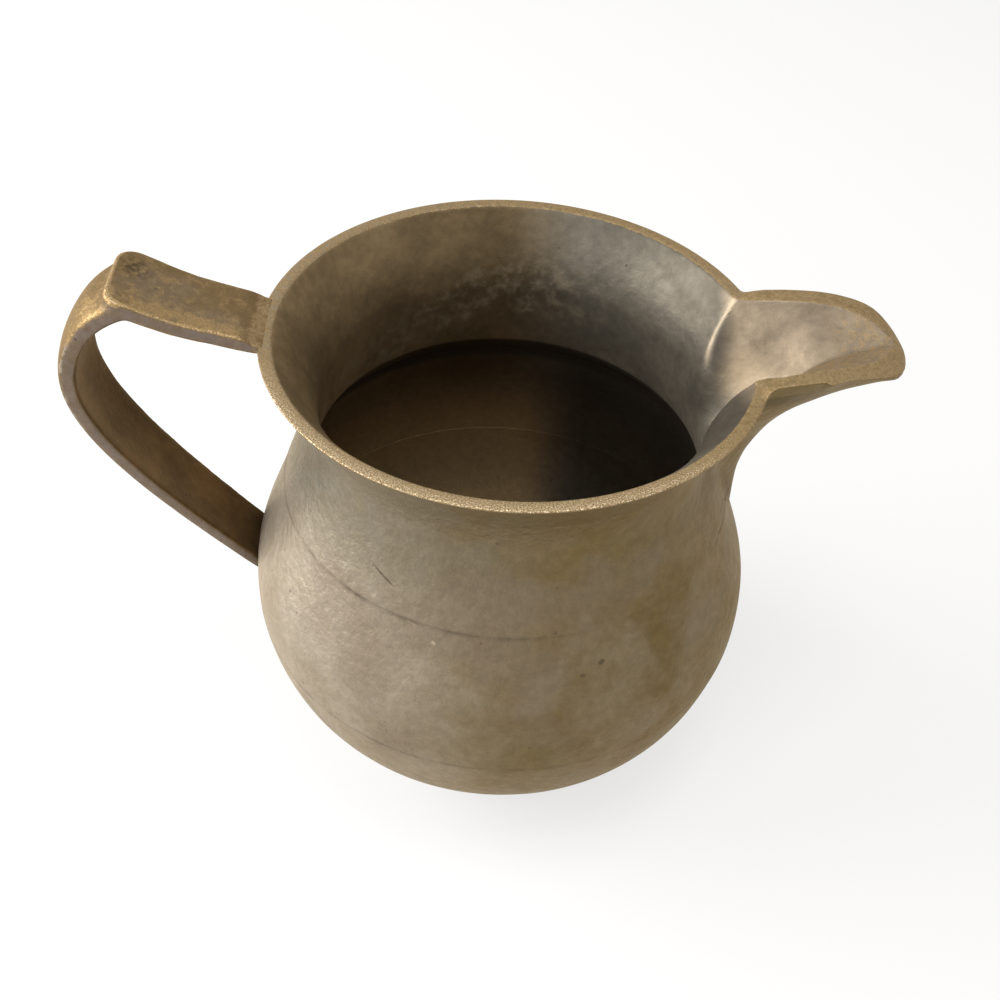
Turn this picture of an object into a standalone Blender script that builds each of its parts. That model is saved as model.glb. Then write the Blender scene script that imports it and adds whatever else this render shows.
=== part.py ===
"""Pewter pitcher: a three-part turned body, a beak spout and a strap handle, soldered together.

Units are metres. The pitcher stands on z = 0 with its axis on Z, the spout towards +X and the handle
towards -X. Heights on the body are measured down from the rim, because the maker's gauge sits there.
"""

import math

import bmesh
import bpy
import numpy as np

MM = 0.001

# Body outline, outer face: radius and depth below the rim at each named place
HEIGHT = 120.0 * MM
RIM_RADIUS = 56.0 * MM
THROAT_RADIUS = 46.85 * MM
THROAT_DEPTH = 20.5 * MM
SHOULDER_RADIUS = 52.4 * MM
SHOULDER_DEPTH = 40.4 * MM
GIRTH_RADIUS = 60.85 * MM
GIRTH_DEPTH = 72.0 * MM
BELLY_RADIUS = 52.7 * MM
BELLY_DEPTH = 98.0 * MM
FOOT_RADIUS = 34.0 * MM

# How much the radius grows for each unit of depth at those places
RIM_SLOPE = -0.83
SHOULDER_SLOPE = 0.37
BELLY_SLOPE = -0.66
FOOT_SLOPE = -1.05

# Body walls, floor and edges
WALL = 3.0 * MM
RIM_WALL = 3.3 * MM
RIM_ROUND = 0.8 * MM
FLOOR = 3.6 * MM
FOOT_ROUND = 1.2 * MM
GIRTH_SEAM_DEPTH = 76.0 * MM
LIP_WIDTH = 3.9 * MM
LIP_ABOVE_SEAM = 4.9 * MM

# Joints: every casting keeps this gap to its neighbour, and solder fills the rest
GAP = 0.3 * MM
SOLDER = 0.5 * MM
BEAD = 1.3 * MM
BEAD_HALF_HEIGHT = 1.6 * MM

# Handle
ARM_WIDTH = 19.6 * MM
ARM_THICKNESS = 3.8 * MM
ARM_LENGTH = 30.3 * MM
ARM_TOP_AT_RIM = 1.9 * MM
ARM_RISE = 10.4 * MM
THUMB_WIDTH = 20.4 * MM
THUMB_CORNER = 2.4 * MM
STRAP_REACH = 40.3 * MM
STRAP_REACH_DEPTH = 12.6 * MM
STRAP_FOOT_DEPTH = 66.4 * MM
STRAP_FOOT_WIDTH = 15.8 * MM
STRAP_THICKNESS = 4.3 * MM
STRAP_FOOT_THICKNESS = 3.4 * MM
STRAP_CROWN = 1.3 * MM
STRAP_SET_BACK = 5.6 * MM
STRAP_ROOT_DROP = 1.9 * MM
STRAP_SHOULDER_OUT = 10.0 * MM
STRAP_SHOULDER_DROP = 2.6 * MM
STRAP_UPPER_BEND = 8.5 * MM
STRAP_LOWER_BEND = 15.3 * MM
STRAP_FOOT_OUT = 17.4 * MM
STRAP_FOOT_UP = 18.6 * MM
HANDLE_ROUND = 0.9 * MM

# Spout
SPOUT_REACH = 29.7 * MM
SPOUT_MOUTH = 38.6 * MM
SPOUT_TIP_WIDTH = 27.0 * MM
SPOUT_LIP_RISE = 3.2 * MM
SPOUT_FOOT_DEPTH = 46.0 * MM
SPOUT_CUT_DEPTH = 30.0 * MM
SPOUT_WALL = 3.2 * MM
SPOUT_TIP_THICKNESS = 3.3 * MM
SPOUT_NOSE_LENGTH = 11.7 * MM
SPOUT_LIP_LINE = [(-0.12, 0.0, 3.0), (0.3, 0.95, 0.5), (0.5, 1.0, 0.0), (0.8, 0.78, -2.0), (1.0, -0.12, -6.0)]

# Outside of the spout. The foot's sections lean from level to upright; each row gives how far out from the
# throat the upper edges and the lowest point lie (as shares of the reach), how deep they are (as shares of
# the foot's depth), the half width (as a share of half the mouth) and how full the sides are.
SPOUT_FOOT_SECTIONS = [
    (-0.09, 1.09, 0.258, 1.09, 0.78, 2.2),
    (-0.09, 0.87, 0.253, 0.94, 0.64, 2.2),
    (-0.09, 0.67, 0.253, 0.85, 0.47, 2.2),
    (-0.08, 0.48, 0.258, 0.76, 0.53, 1.8),
    (-0.06, 0.26, 0.273, 0.67, 0.70, 1.55),
    (-0.03, 0.09, 0.298, 0.60, 0.95, 1.5),
]
# The nose's sections are upright and their upper edges follow the lip: distance out from the rim and depth
# of the lowest point, as shares again, and how full the sides are.
SPOUT_NOSE_SECTIONS = [
    (0.07, 0.455, 1.6),
    (0.20, 0.337, 1.9),
    (0.34, 0.235, 2.4),
    (0.47, 0.160, 2.8),
    (0.61, 0.115, 2.9),
    (0.80, 0.070, 2.8),
    (1.10, 0.030, 2.6),
]

# Fineness of the round shapes
TURN_STEPS = 60
ARC_STEPS = 3


def hermite(points, place):
    """Smooth curve through (place, value, slope) points, read at one place."""
    for (a, va, sa), (b, vb, sb) in zip(points, points[1:]):
        if place <= b or (b, vb, sb) == points[-1]:
            span = b - a
            t = (place - a) / span
            rise = (2 * t**3 - 3 * t**2 + 1) * va + (3 * t**2 - 2 * t**3) * vb
            return rise + span * ((t**3 - 2 * t**2 + t) * sa + (t**3 - t**2) * sb)


def rim_edge():
    """Where the rim's rounded outer edge runs into the flared outline: its angle, radius and depth."""
    angle = math.atan(RIM_SLOPE)
    radius = RIM_RADIUS - RIM_ROUND * (1.0 - math.cos(angle))
    depth = RIM_ROUND * (1.0 - math.sin(angle))
    return angle, radius, depth


def body_radius(depth):
    """Outer radius of the body at a depth below the rim, with the rim's rounding taken as full."""
    _, edge_radius, edge_depth = rim_edge()
    if depth < edge_depth:
        return RIM_RADIUS
    outline = [
        (edge_depth, edge_radius, RIM_SLOPE),
        (THROAT_DEPTH, THROAT_RADIUS, 0.0),
        (SHOULDER_DEPTH, SHOULDER_RADIUS, SHOULDER_SLOPE),
        (GIRTH_DEPTH, GIRTH_RADIUS, 0.0),
        (BELLY_DEPTH, BELLY_RADIUS, BELLY_SLOPE),
        (HEIGHT, FOOT_RADIUS, FOOT_SLOPE),
    ]
    return hermite(outline, depth)


def depths(top, bottom, count):
    """Evenly spaced depths from top to bottom."""
    return [top + (bottom - top) * i / count for i in range(count + 1)]


def outline_levels(top, bottom, count):
    """Depths that follow the outline closely, with one at the rim's edge if that lies between."""
    levels = depths(max(top, rim_edge()[2]), bottom, count)
    return levels if top >= levels[0] else [top] + levels


def arc(centre, radius, start, end):
    """Points of an arc in the profile plane, angles in degrees from +X towards +Z."""
    angles = [math.radians(start + (end - start) * i / ARC_STEPS) for i in range(ARC_STEPS + 1)]
    return [(centre[0] + radius * math.cos(a), centre[1] + radius * math.sin(a)) for a in angles]


def bezier(points, count):
    """Points of one cubic Bezier stretch."""
    p = [np.array(q) for q in points]
    out = []
    for i in range(count + 1):
        t = i / count
        left = 1.0 - t
        out.append(left**3 * p[0] + 3 * left**2 * t * p[1] + 3 * left * t**2 * p[2] + t**3 * p[3])
    return out


def between_rows(rows, steps):
    """Rows of numbers with evenly spaced smooth rows added between them."""
    known = np.array(rows)
    padded = np.vstack([2 * known[0] - known[1], known, 2 * known[-1] - known[-2]])
    out = []
    for a, b, c, d in zip(padded, padded[1:], padded[2:], padded[3:]):
        for i in range(steps):
            t = i / steps
            out.append(b + 0.5 * t * (c - a + t * (2 * a - 5 * b + 4 * c - d + t * (3 * (b - c) + d - a))))
    out.append(known[-1])
    return out


def new_collection(name):
    """A collection linked to the scene."""
    collection = bpy.data.collections.new(name)
    bpy.context.scene.collection.children.link(collection)
    return collection


def pewter(name, colour, roughness):
    """A metal with the colour and roughness given."""
    material = bpy.data.materials.new(name)
    material.use_nodes = True
    shader = material.node_tree.nodes["Principled BSDF"]
    shader.inputs["Base Color"].default_value = (*colour, 1.0)
    shader.inputs["Metallic"].default_value = 1.0
    shader.inputs["Roughness"].default_value = roughness
    return material


def add_object(name, mesh, collection):
    """Put a mesh in a collection as an object whose origin is the middle of the rim plane."""
    thing = bpy.data.objects.new(name, mesh)
    thing.location = (0.0, 0.0, HEIGHT)
    collection.objects.link(thing)
    return thing


def add_part(name, mesh, material):
    """A sub-part of the pitcher, parented to the pitcher's empty."""
    thing = add_object(name, mesh, PARTS)
    thing.parent = PITCHER
    mesh.materials.append(material)
    return thing


def as_cutter(thing):
    """Mark a shape as a guide that cuts or trims sub-parts and isn't part of the pitcher."""
    thing.hide_render = True
    thing.display_type = "WIRE"
    return thing


def add_cutter(name, mesh):
    """A guide shape made from a mesh."""
    return as_cutter(add_object(name, mesh, CUTTERS))


def smooth(thing, degrees=35.0):
    """Shade a piece smooth, keeping its real edges sharp."""
    thing.data.shade_smooth()
    thing.data.set_sharp_from_angle(angle=math.radians(degrees))


def profile_mesh(name, profile, closed):
    """A profile in the XZ plane as an edge chain, ready for a Screw modifier."""
    mesh = bpy.data.meshes.new(name)
    verts = [(x, 0.0, z) for x, z in profile]
    edges = [(i, i + 1) for i in range(len(profile) - 1)]
    if closed:
        edges.append((len(profile) - 1, 0))
    mesh.from_pydata(verts, edges, [])
    return mesh


def turn(thing):
    """Turn a profile about the pitcher's axis."""
    screw = thing.modifiers.new("turned", "SCREW")
    screw.axis = "Z"
    screw.steps = TURN_STEPS
    screw.render_steps = TURN_STEPS
    screw.use_merge_vertices = True
    screw.merge_threshold = 0.00001
    screw.use_smooth_shade = True


def combine(thing, operation, other):
    """Cut, trim or join a piece with another shape."""
    boolean = thing.modifiers.new(operation.lower() + " " + other.name, "BOOLEAN")
    boolean.operation = operation
    boolean.solver = "EXACT"
    boolean.object = other


def neck_inner_radius(depth):
    """Inner face of the neck casting, from the rim to its lower lip."""
    bottom = SHOULDER_RADIUS - WALL
    if depth <= THROAT_DEPTH:
        return body_radius(depth) - RIM_WALL + (RIM_WALL - WALL) * depth / THROAT_DEPTH
    lip_depth = SHOULDER_DEPTH - LIP_ABOVE_SEAM
    points = [(THROAT_DEPTH, THROAT_RADIUS - WALL, 0.0), (lip_depth, bottom - LIP_WIDTH, 0.2)]
    return hermite(points, depth)


def make_neck():
    """Flared neck casting with the rim, a thick lower lip and the opening filed for the spout."""
    edge_angle, _, edge_depth = rim_edge()
    rounded_outer = arc((RIM_RADIUS - RIM_ROUND, -RIM_ROUND), RIM_ROUND, 90.0, math.degrees(edge_angle))
    rounded_inner = arc((RIM_RADIUS - RIM_WALL + RIM_ROUND, -RIM_ROUND), RIM_ROUND, 170.0, 90.0)
    bottom = SHOULDER_DEPTH - GAP / 2
    lip_depth = SHOULDER_DEPTH - LIP_ABOVE_SEAM
    outer = [(body_radius(d), -d) for d in depths(edge_depth, bottom, 12)[1:]]
    inner = [(neck_inner_radius(d), -d) for d in depths(lip_depth, 2.4 * RIM_ROUND, 10)]
    undercut = [(body_radius(bottom) - WALL, -bottom)]
    profile = rounded_outer + outer + undercut + inner + rounded_inner
    metal = pewter("aged pewter", (0.33, 0.29, 0.23), 0.42)
    neck = add_part("neck", profile_mesh("neck", profile, True), metal)
    turn(neck)
    combine(neck, "DIFFERENCE", SPOUT_HOLLOW)
    return neck


def make_shoulder():
    """Middle casting, from the shoulder seam to the girth seam."""
    top = SHOULDER_DEPTH + GAP / 2
    bottom = GIRTH_SEAM_DEPTH - GAP / 2
    outer = [(body_radius(d), -d) for d in depths(top, bottom, 9)]
    inner = [(body_radius(d) - WALL, -d) for d in depths(bottom, top, 8)]
    metal = pewter("dull pewter", (0.31, 0.28, 0.23), 0.46)
    shoulder = add_part("shoulder", profile_mesh("shoulder", outer + inner, True), metal)
    turn(shoulder)
    return shoulder


def make_bowl():
    """Lower casting with the closed floor, which the pitcher stands on."""
    top = GIRTH_SEAM_DEPTH + GAP / 2
    low = HEIGHT - FOOT_ROUND
    inside_low = HEIGHT - FLOOR - 2.0 * FOOT_ROUND
    outer = [(body_radius(d), -d) for d in depths(top, low, 10)]
    corner_centre = (body_radius(low) - FOOT_ROUND, -low)
    corner = arc(corner_centre, FOOT_ROUND, -15.0, -90.0)
    inner = [(body_radius(d) - WALL, -d) for d in depths(inside_low, top, 9)]
    floor_edge = (body_radius(inside_low) - WALL - 3.0 * FOOT_ROUND, -(HEIGHT - FLOOR))
    profile = [(0.0, -(HEIGHT - FLOOR)), floor_edge] + inner + outer + corner + [(0.0, -HEIGHT)]
    metal = pewter("belly pewter", (0.30, 0.27, 0.22), 0.48)
    bowl = add_part("bowl", profile_mesh("bowl", profile, False), metal)
    turn(bowl)
    return bowl


def make_shoulder_bead():
    """Solder run inside the shoulder seam, under the neck's lower lip."""
    seam = SHOULDER_DEPTH
    wall = body_radius(seam) - WALL - GAP
    below = seam + BEAD_HALF_HEIGHT
    above = seam - BEAD_HALF_HEIGHT
    slant = LIP_WIDTH / LIP_ABOVE_SEAM
    profile = [
        (wall - slant * BEAD_HALF_HEIGHT - GAP, -above),
        (wall - 0.5 * GAP, -seam),
        (body_radius(below) - WALL - GAP, -below),
        (wall - BEAD, -(seam + 0.5 * BEAD_HALF_HEIGHT)),
        (wall - slant * BEAD_HALF_HEIGHT - BEAD, -(seam - 0.5 * BEAD_HALF_HEIGHT)),
    ]
    bead = add_part("shoulder_solder", profile_mesh("shoulder_solder", profile, True), SOLDER_METAL)
    turn(bead)


def make_girth_bead():
    """Solder run inside the seam round the widest part of the belly."""
    seam = GIRTH_SEAM_DEPTH
    above = seam - BEAD_HALF_HEIGHT
    below = seam + BEAD_HALF_HEIGHT
    wall = body_radius(seam) - WALL - GAP
    profile = [
        (body_radius(above) - WALL - GAP, -above),
        (wall, -seam),
        (body_radius(below) - WALL - GAP, -below),
        (wall - 0.7 * BEAD, -(seam + 0.5 * BEAD_HALF_HEIGHT)),
        (wall - BEAD, -seam),
        (wall - 0.7 * BEAD, -(seam - 0.5 * BEAD_HALF_HEIGHT)),
    ]
    bead = add_part("girth_solder", profile_mesh("girth_solder", profile, True), SOLDER_METAL)
    turn(bead)


def make_clearance():
    """A solid guide a little larger than the body, which trims what is soldered to it."""
    above = 2.0 * ARM_RISE
    offset = 2 * GAP + SOLDER
    below = outline_levels(0.0, HEIGHT - FLOOR, 40)
    outline = [(body_radius(d) + offset, -d) for d in below]
    profile = [(0.0, above), (RIM_RADIUS + offset, above)] + outline + [(0.0, -below[-1])]
    guide = add_cutter("body_clearance", profile_mesh("body_clearance", profile, False))
    turn(guide)
    return guide


def outward(path):
    """Unit vectors square to a path in the XZ plane, pointing to its left seen from the camera side."""
    out = []
    for i in range(len(path)):
        before = path[max(i - 1, 0)]
        after = path[min(i + 1, len(path) - 1)]
        along = np.array([after[0] - before[0], after[1] - before[1]])
        along /= np.linalg.norm(along)
        out.append((along[1], -along[0]))
    return out


def strip(name, path, half_widths, thicknesses, crowns):
    """One side of a strip of metal along a path in the XZ plane, to be mirrored and thickened.

    A crown is how far the middle of the strip stands out beyond its edges at one point of the path.
    """
    mesh = bpy.data.meshes.new(name)
    bm = bmesh.new()
    shares = (0.0, 0.35, 0.7, 1.0)
    columns = []
    for share in shares:
        column = []
        for p, n, w, crown in zip(path, outward(path), half_widths, crowns):
            lift = crown * (1.0 - share**2)
            column.append(bm.verts.new((p[0] + lift * n[0], w * share, p[1] + lift * n[1])))
        columns.append(column)
    for inner, outer in zip(columns, columns[1:]):
        for i in range(len(path) - 1):
            bm.faces.new((inner[i], inner[i + 1], outer[i + 1], outer[i]))
    bm.verts.index_update()
    bm.to_mesh(mesh)
    bm.free()
    thing = bpy.data.objects.new(name, mesh)
    group = thing.vertex_groups.new(name="thickness")
    thickest = max(thicknesses)
    for i, t in enumerate(thicknesses):
        group.add([i + len(path) * k for k in range(len(shares))], t / thickest, "REPLACE")
    mirror = thing.modifiers.new("other side", "MIRROR")
    mirror.use_axis = (False, True, False)
    mirror.merge_threshold = 0.0001
    mirror.use_clip = True
    solid = thing.modifiers.new("metal thickness", "SOLIDIFY")
    solid.thickness = thickest
    solid.offset = 0.0
    solid.vertex_group = group.name
    bevel = thing.modifiers.new("worn edges", "BEVEL")
    bevel.width = HANDLE_ROUND
    bevel.segments = 2
    bevel.limit_method = "ANGLE"
    bevel.angle_limit = math.radians(50.0)
    bevel.profile = 0.5
    thing.location = (0.0, 0.0, HEIGHT)
    return thing


def arm_path():
    """Middle line of the handle's upper arm, from inside the rim out to the thumb rest."""
    start = RIM_RADIUS - RIM_WALL
    tip = RIM_RADIUS + ARM_LENGTH
    knee = RIM_RADIUS + 0.36 * ARM_LENGTH
    base = ARM_TOP_AT_RIM - ARM_THICKNESS / 2
    points = [(start, base, 0.10), (knee, base + 0.27 * ARM_RISE, 0.25), (tip, base + ARM_RISE, 0.45)]
    return [(-x, hermite(points, x)) for x in depths(start, tip - THUMB_CORNER, 12)] + [
        (-x, hermite(points, x)) for x in (tip - 0.45 * THUMB_CORNER, tip)]


def arm_half_widths(path):
    """Half width along the arm: it flares to the thumb rest, whose corners are rounded in plan."""
    tip = RIM_RADIUS + ARM_LENGTH
    widths = []
    for x, _ in path:
        along = (-x - RIM_RADIUS) / ARM_LENGTH
        flare = max(0.0, along - 0.5) * (THUMB_WIDTH - ARM_WIDTH)
        into_corner = max(0.0, 1.0 - (tip + x) / THUMB_CORNER)
        rounded = THUMB_CORNER * (1.0 - math.sqrt(1.0 - into_corner**2))
        widths.append(ARM_WIDTH / 2 + flare - rounded)
    return widths


def strap_path():
    """Middle line of the strap, from under the thumb rest round to the belly."""
    tip = RIM_RADIUS + ARM_LENGTH
    rest = ARM_TOP_AT_RIM - ARM_THICKNESS / 2 + ARM_RISE
    root = (-(tip - STRAP_SET_BACK), rest - STRAP_ROOT_DROP)
    shoulder = (root[0] - STRAP_SHOULDER_OUT, root[1] - STRAP_SHOULDER_DROP)
    widest = (-(RIM_RADIUS + STRAP_REACH), -STRAP_REACH_DEPTH)
    foot_radius = body_radius(STRAP_FOOT_DEPTH)
    foot = (-foot_radius, -STRAP_FOOT_DEPTH)
    foot_pull = (foot[0] - STRAP_FOOT_OUT, foot[1] + STRAP_FOOT_UP)
    inside = (-(foot_radius - WALL), -(STRAP_FOOT_DEPTH + 0.9 * WALL))
    upper = bezier([root, shoulder, (widest[0], widest[1] + STRAP_UPPER_BEND), widest], 9)
    lower = bezier([widest, (widest[0], widest[1] - STRAP_LOWER_BEND), foot_pull, foot], 14)
    return [tuple(p) for p in upper] + [tuple(p) for p in lower[1:]] + [inside]


def arm_strip(name):
    """The upper arm and thumb rest, before it is trimmed to the body."""
    route = arm_path()
    return strip(name, route, arm_half_widths(route), [ARM_THICKNESS] * len(route), [0.0] * len(route))


def strap_strip(name):
    """The strap, before it is joined to the arm and trimmed to the body."""
    route = strap_path()
    share = [i / (len(route) - 1) for i in range(len(route))]
    widths = [(THUMB_WIDTH + (STRAP_FOOT_WIDTH - THUMB_WIDTH) * s**1.5) / 2 for s in share]
    thick = [STRAP_THICKNESS + (STRAP_FOOT_THICKNESS - STRAP_THICKNESS) * s for s in share]
    crowns = [STRAP_CROWN * min(1.0, max(0.0, (i - 2) / 3)) for i in range(len(route))]
    return strip(name, route, widths, thick, crowns)


def make_handle():
    """The handle: one casting that holds the arm, the thumb rest and the strap."""
    handle = arm_strip("handle")
    PARTS.objects.link(handle)
    handle.parent = PITCHER
    handle.data.materials.append(pewter("handle pewter", (0.36, 0.31, 0.24), 0.38))
    combine(handle, "UNION", STRAP_SHAPE)
    combine(handle, "DIFFERENCE", BODY_CLEARANCE)
    smooth(handle)
    return handle


def trough(name, stations, lid):
    """A solid trough lofted through stations, each a rounded V from two upper edges to a lowest point.

    A station is (out, height) of the upper edges, (out, height) of the lowest point, half width and
    fullness: 1 gives straight sides, less than 1 hollow sides and more than 1 full sides. The lid is the
    height that straight walls add above the upper edges.
    """
    sides = 8
    nose = 0.12
    bm = bmesh.new()
    rings = []
    for edge_x, edge_z, low_x, low_z, half, fullness in stations:
        ring = []
        least = nose**fullness
        most = (1.0 + nose * nose) ** (fullness / 2)
        for i in range(-sides, sides + 1):
            u = i / sides
            rise = ((u * u + nose * nose) ** (fullness / 2) - least) / (most - least)
            x = low_x + (edge_x - low_x) * rise
            ring.append(bm.verts.new((x, half * u, low_z + (edge_z - low_z) * rise)))
        if lid:
            ring.append(bm.verts.new((edge_x, half, edge_z + lid)))
            ring.append(bm.verts.new((edge_x, -half, edge_z + lid)))
        rings.append(ring)
    for a, b in zip(rings, rings[1:]):
        for i in range(len(a)):
            j = (i + 1) % len(a)
            bm.faces.new((a[i], a[j], b[j], b[i]))
    bm.faces.new(rings[0])
    bm.faces.new(rings[-1])
    bmesh.ops.recalc_face_normals(bm, faces=bm.faces)
    mesh = bpy.data.meshes.new(name)
    bm.to_mesh(mesh)
    bm.free()
    return mesh


def spout_lip(x):
    """Half width and height of the spout's outer lip at a distance from the axis."""
    along = (x - RIM_RADIUS) / SPOUT_REACH
    start = SPOUT_LIP_LINE[0][0]
    half = (SPOUT_MOUTH + (SPOUT_TIP_WIDTH - SPOUT_MOUTH) * max(0.0, along - start)) / 2
    return half, SPOUT_LIP_RISE * hermite(SPOUT_LIP_LINE, min(max(along, start), 1.0))


def spout_floor(x):
    """Height of the trough's floor, from the foot of the cut in the neck to the tip."""
    inner = THROAT_RADIUS - WALL
    front = RIM_RADIUS + SPOUT_REACH
    share = min(max((x - inner) / (front - inner), 0.0), 1.0)
    tip = 0.4 * SPOUT_LIP_RISE
    return tip - (SPOUT_CUT_DEPTH + tip) * (1.0 - share) ** 1.75


def make_spout_guides():
    """The full outside of the spout, and the hollow that is poured through."""
    foot = []
    for edge_out, edge_depth, low_out, low_depth, half, fullness in SPOUT_FOOT_SECTIONS:
        foot.append((THROAT_RADIUS + edge_out * SPOUT_REACH, -edge_depth * SPOUT_FOOT_DEPTH,
                     THROAT_RADIUS + low_out * SPOUT_REACH, -low_depth * SPOUT_FOOT_DEPTH,
                     half * SPOUT_MOUTH / 2, fullness))
    nose = []
    for out, depth, fullness in SPOUT_NOSE_SECTIONS:
        x = RIM_RADIUS + out * SPOUT_REACH
        half, top = spout_lip(x)
        nose.append((x, top, x, -depth * SPOUT_FOOT_DEPTH, half, fullness))
    inner = THROAT_RADIUS - WALL
    front = RIM_RADIUS + SPOUT_REACH
    hollow = []
    for x in [inner - 2.0 * WALL] + depths(inner, front + WALL, 14):
        half, top = spout_lip(x)
        share = min(max((x - inner) / (front - inner), 0.0), 1.0)
        hollow.append((x, top, x, spout_floor(x), half - SPOUT_WALL, 1.25 - 0.25 * share))
    shape = add_cutter("spout_outside", trough("spout_outside", between_rows(foot + nose, 2), 0.0))
    cut = add_cutter("spout_hollow", trough("spout_hollow", hollow, 4.0 * SPOUT_WALL))
    return shape, cut


def make_spout():
    """Beak spout: a thick-walled trough with a broad blunt nose and a foot that runs down the neck."""
    mesh = SPOUT_OUTSIDE.data.copy()
    mesh.name = "spout"
    spout = add_part("spout", mesh, pewter("spout pewter", (0.35, 0.30, 0.23), 0.40))
    front = RIM_RADIUS + SPOUT_REACH
    start = front - SPOUT_NOSE_LENGTH
    half = spout_lip(start)[0] + GAP
    nose = []
    for i in range(17):
        a = math.pi * (i / 16 - 0.5)
        across = math.copysign(abs(math.sin(a)) ** 1.15, a)
        nose.append((start + SPOUT_NOSE_LENGTH * abs(math.cos(a)) ** 0.8, half * across))
    outline = [(0.0, -SPOUT_MOUTH), (start, -SPOUT_MOUTH)] + nose + [(start, SPOUT_MOUTH), (0.0, SPOUT_MOUTH)]
    bm = bmesh.new()
    face = bm.faces.new([bm.verts.new((x, y, -HEIGHT)) for x, y in outline])
    raised = bmesh.ops.extrude_face_region(bm, geom=[face])
    top = [v for v in raised["geom"] if isinstance(v, bmesh.types.BMVert)]
    bmesh.ops.translate(bm, vec=(0.0, 0.0, 1.5 * HEIGHT), verts=top)
    bmesh.ops.recalc_face_normals(bm, faces=bm.faces)
    plan = bpy.data.meshes.new("spout_plan")
    bm.to_mesh(plan)
    bm.free()
    combine(spout, "INTERSECT", add_cutter("spout_plan", plan))
    combine(spout, "DIFFERENCE", SPOUT_HOLLOW)
    combine(spout, "DIFFERENCE", BODY_CLEARANCE)
    smooth(spout)
    return spout


def make_film(name, top, bottom, shape, hollow=None):
    """Solder between the body and a piece soldered to it, as a thin film with that piece's outline."""
    levels = outline_levels(top, bottom, 16)
    outer = [(body_radius(d) + GAP + SOLDER, -d) for d in levels]
    inner = [(body_radius(d) + GAP, -d) for d in reversed(levels)]
    film = add_part(name, profile_mesh(name, outer + inner, True), SOLDER_METAL)
    turn(film)
    combine(film, "INTERSECT", shape)
    if hollow:
        combine(film, "DIFFERENCE", hollow)
    return film


for old in list(bpy.data.objects):
    bpy.data.objects.remove(old, do_unlink=True)

PARTS = new_collection("pewter_pitcher")
CUTTERS = new_collection("cutters")
PITCHER = bpy.data.objects.new("pewter_pitcher", None)
PARTS.objects.link(PITCHER)
SOLDER_METAL = pewter("solder", (0.42, 0.40, 0.36), 0.5)

BODY_CLEARANCE = make_clearance()
SPOUT_OUTSIDE, SPOUT_HOLLOW = make_spout_guides()
ARM_SHAPE = as_cutter(arm_strip("arm_shape"))
STRAP_SHAPE = as_cutter(strap_strip("strap_shape"))
for guide in (ARM_SHAPE, STRAP_SHAPE):
    CUTTERS.objects.link(guide)

make_neck()
make_shoulder()
make_bowl()
make_shoulder_bead()
make_girth_bead()
make_handle()
make_spout()
make_film("spout_solder", 0.3 * RIM_ROUND, SPOUT_FOOT_DEPTH + SOLDER, SPOUT_OUTSIDE, SPOUT_HOLLOW)
make_film("arm_solder", 0.3 * RIM_ROUND, 2.0 * ARM_THICKNESS, ARM_SHAPE)
strap_end = 2.5 * STRAP_THICKNESS
make_film("strap_solder", STRAP_FOOT_DEPTH - strap_end, STRAP_FOOT_DEPTH + strap_end, STRAP_SHAPE)
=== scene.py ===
"""Pewter pitcher: the visible model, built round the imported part, and the studio it is looked at in.

Units are metres. The pitcher stands on z = 0 with its axis on Z, the spout towards +X and the handle
towards -X. Tables are in millimetres measured from the middle of the rim plane, as the maker gauges it.
"""

import math

import bmesh
import bpy
import numpy as np
from bpy.props import FloatProperty, FloatVectorProperty, IntProperty, PointerProperty
from mathutils import Matrix, Vector, noise


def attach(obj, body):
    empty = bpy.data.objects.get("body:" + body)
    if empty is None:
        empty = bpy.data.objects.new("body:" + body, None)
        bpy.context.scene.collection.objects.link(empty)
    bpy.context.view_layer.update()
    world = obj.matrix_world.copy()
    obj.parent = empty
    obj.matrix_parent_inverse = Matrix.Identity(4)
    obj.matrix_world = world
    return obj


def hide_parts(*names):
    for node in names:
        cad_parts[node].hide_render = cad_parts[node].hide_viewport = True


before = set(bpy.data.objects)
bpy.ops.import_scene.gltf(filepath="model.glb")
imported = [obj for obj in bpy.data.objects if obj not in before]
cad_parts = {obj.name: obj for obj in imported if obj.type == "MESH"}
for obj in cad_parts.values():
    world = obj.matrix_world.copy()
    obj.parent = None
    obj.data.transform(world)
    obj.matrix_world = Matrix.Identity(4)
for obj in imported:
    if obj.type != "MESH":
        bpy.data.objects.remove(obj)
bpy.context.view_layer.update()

bl_info = {
    "name": "Pewter Pitcher",
    "version": (1, 0, 0),
    "blender": (4, 5, 0),
    "location": "View3D > Sidebar > Pitcher",
    "description": "Builds the visible pewter pitcher, its finish and its studio",
    "category": "Add Mesh",
}

MM = 0.001
HEIGHT = 0.120
BASE_DEPTH = HEIGHT / MM

# Outer face of the body: depth below the rim and radius, in millimetres
BODY_OUTLINE = [
    (0.0, 56.0), (2.8, 53.9), (5.6, 51.9), (8.4, 50.2), (11.2, 48.7), (14.0, 47.7), (16.8, 47.0),
    (19.6, 46.8), (22.4, 46.9), (28.0, 48.1), (33.6, 50.0), (39.2, 52.0), (44.8, 54.0), (50.4, 56.2),
    (56.0, 58.3), (61.6, 59.9), (67.2, 60.7), (72.0, 60.85), (75.6, 60.6), (81.2, 59.8), (86.8, 58.3),
    (92.4, 56.0), (98.0, 52.7), (103.6, 48.7), (109.2, 44.2), (114.6, 39.2), (120.0, 34.0),
]
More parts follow.
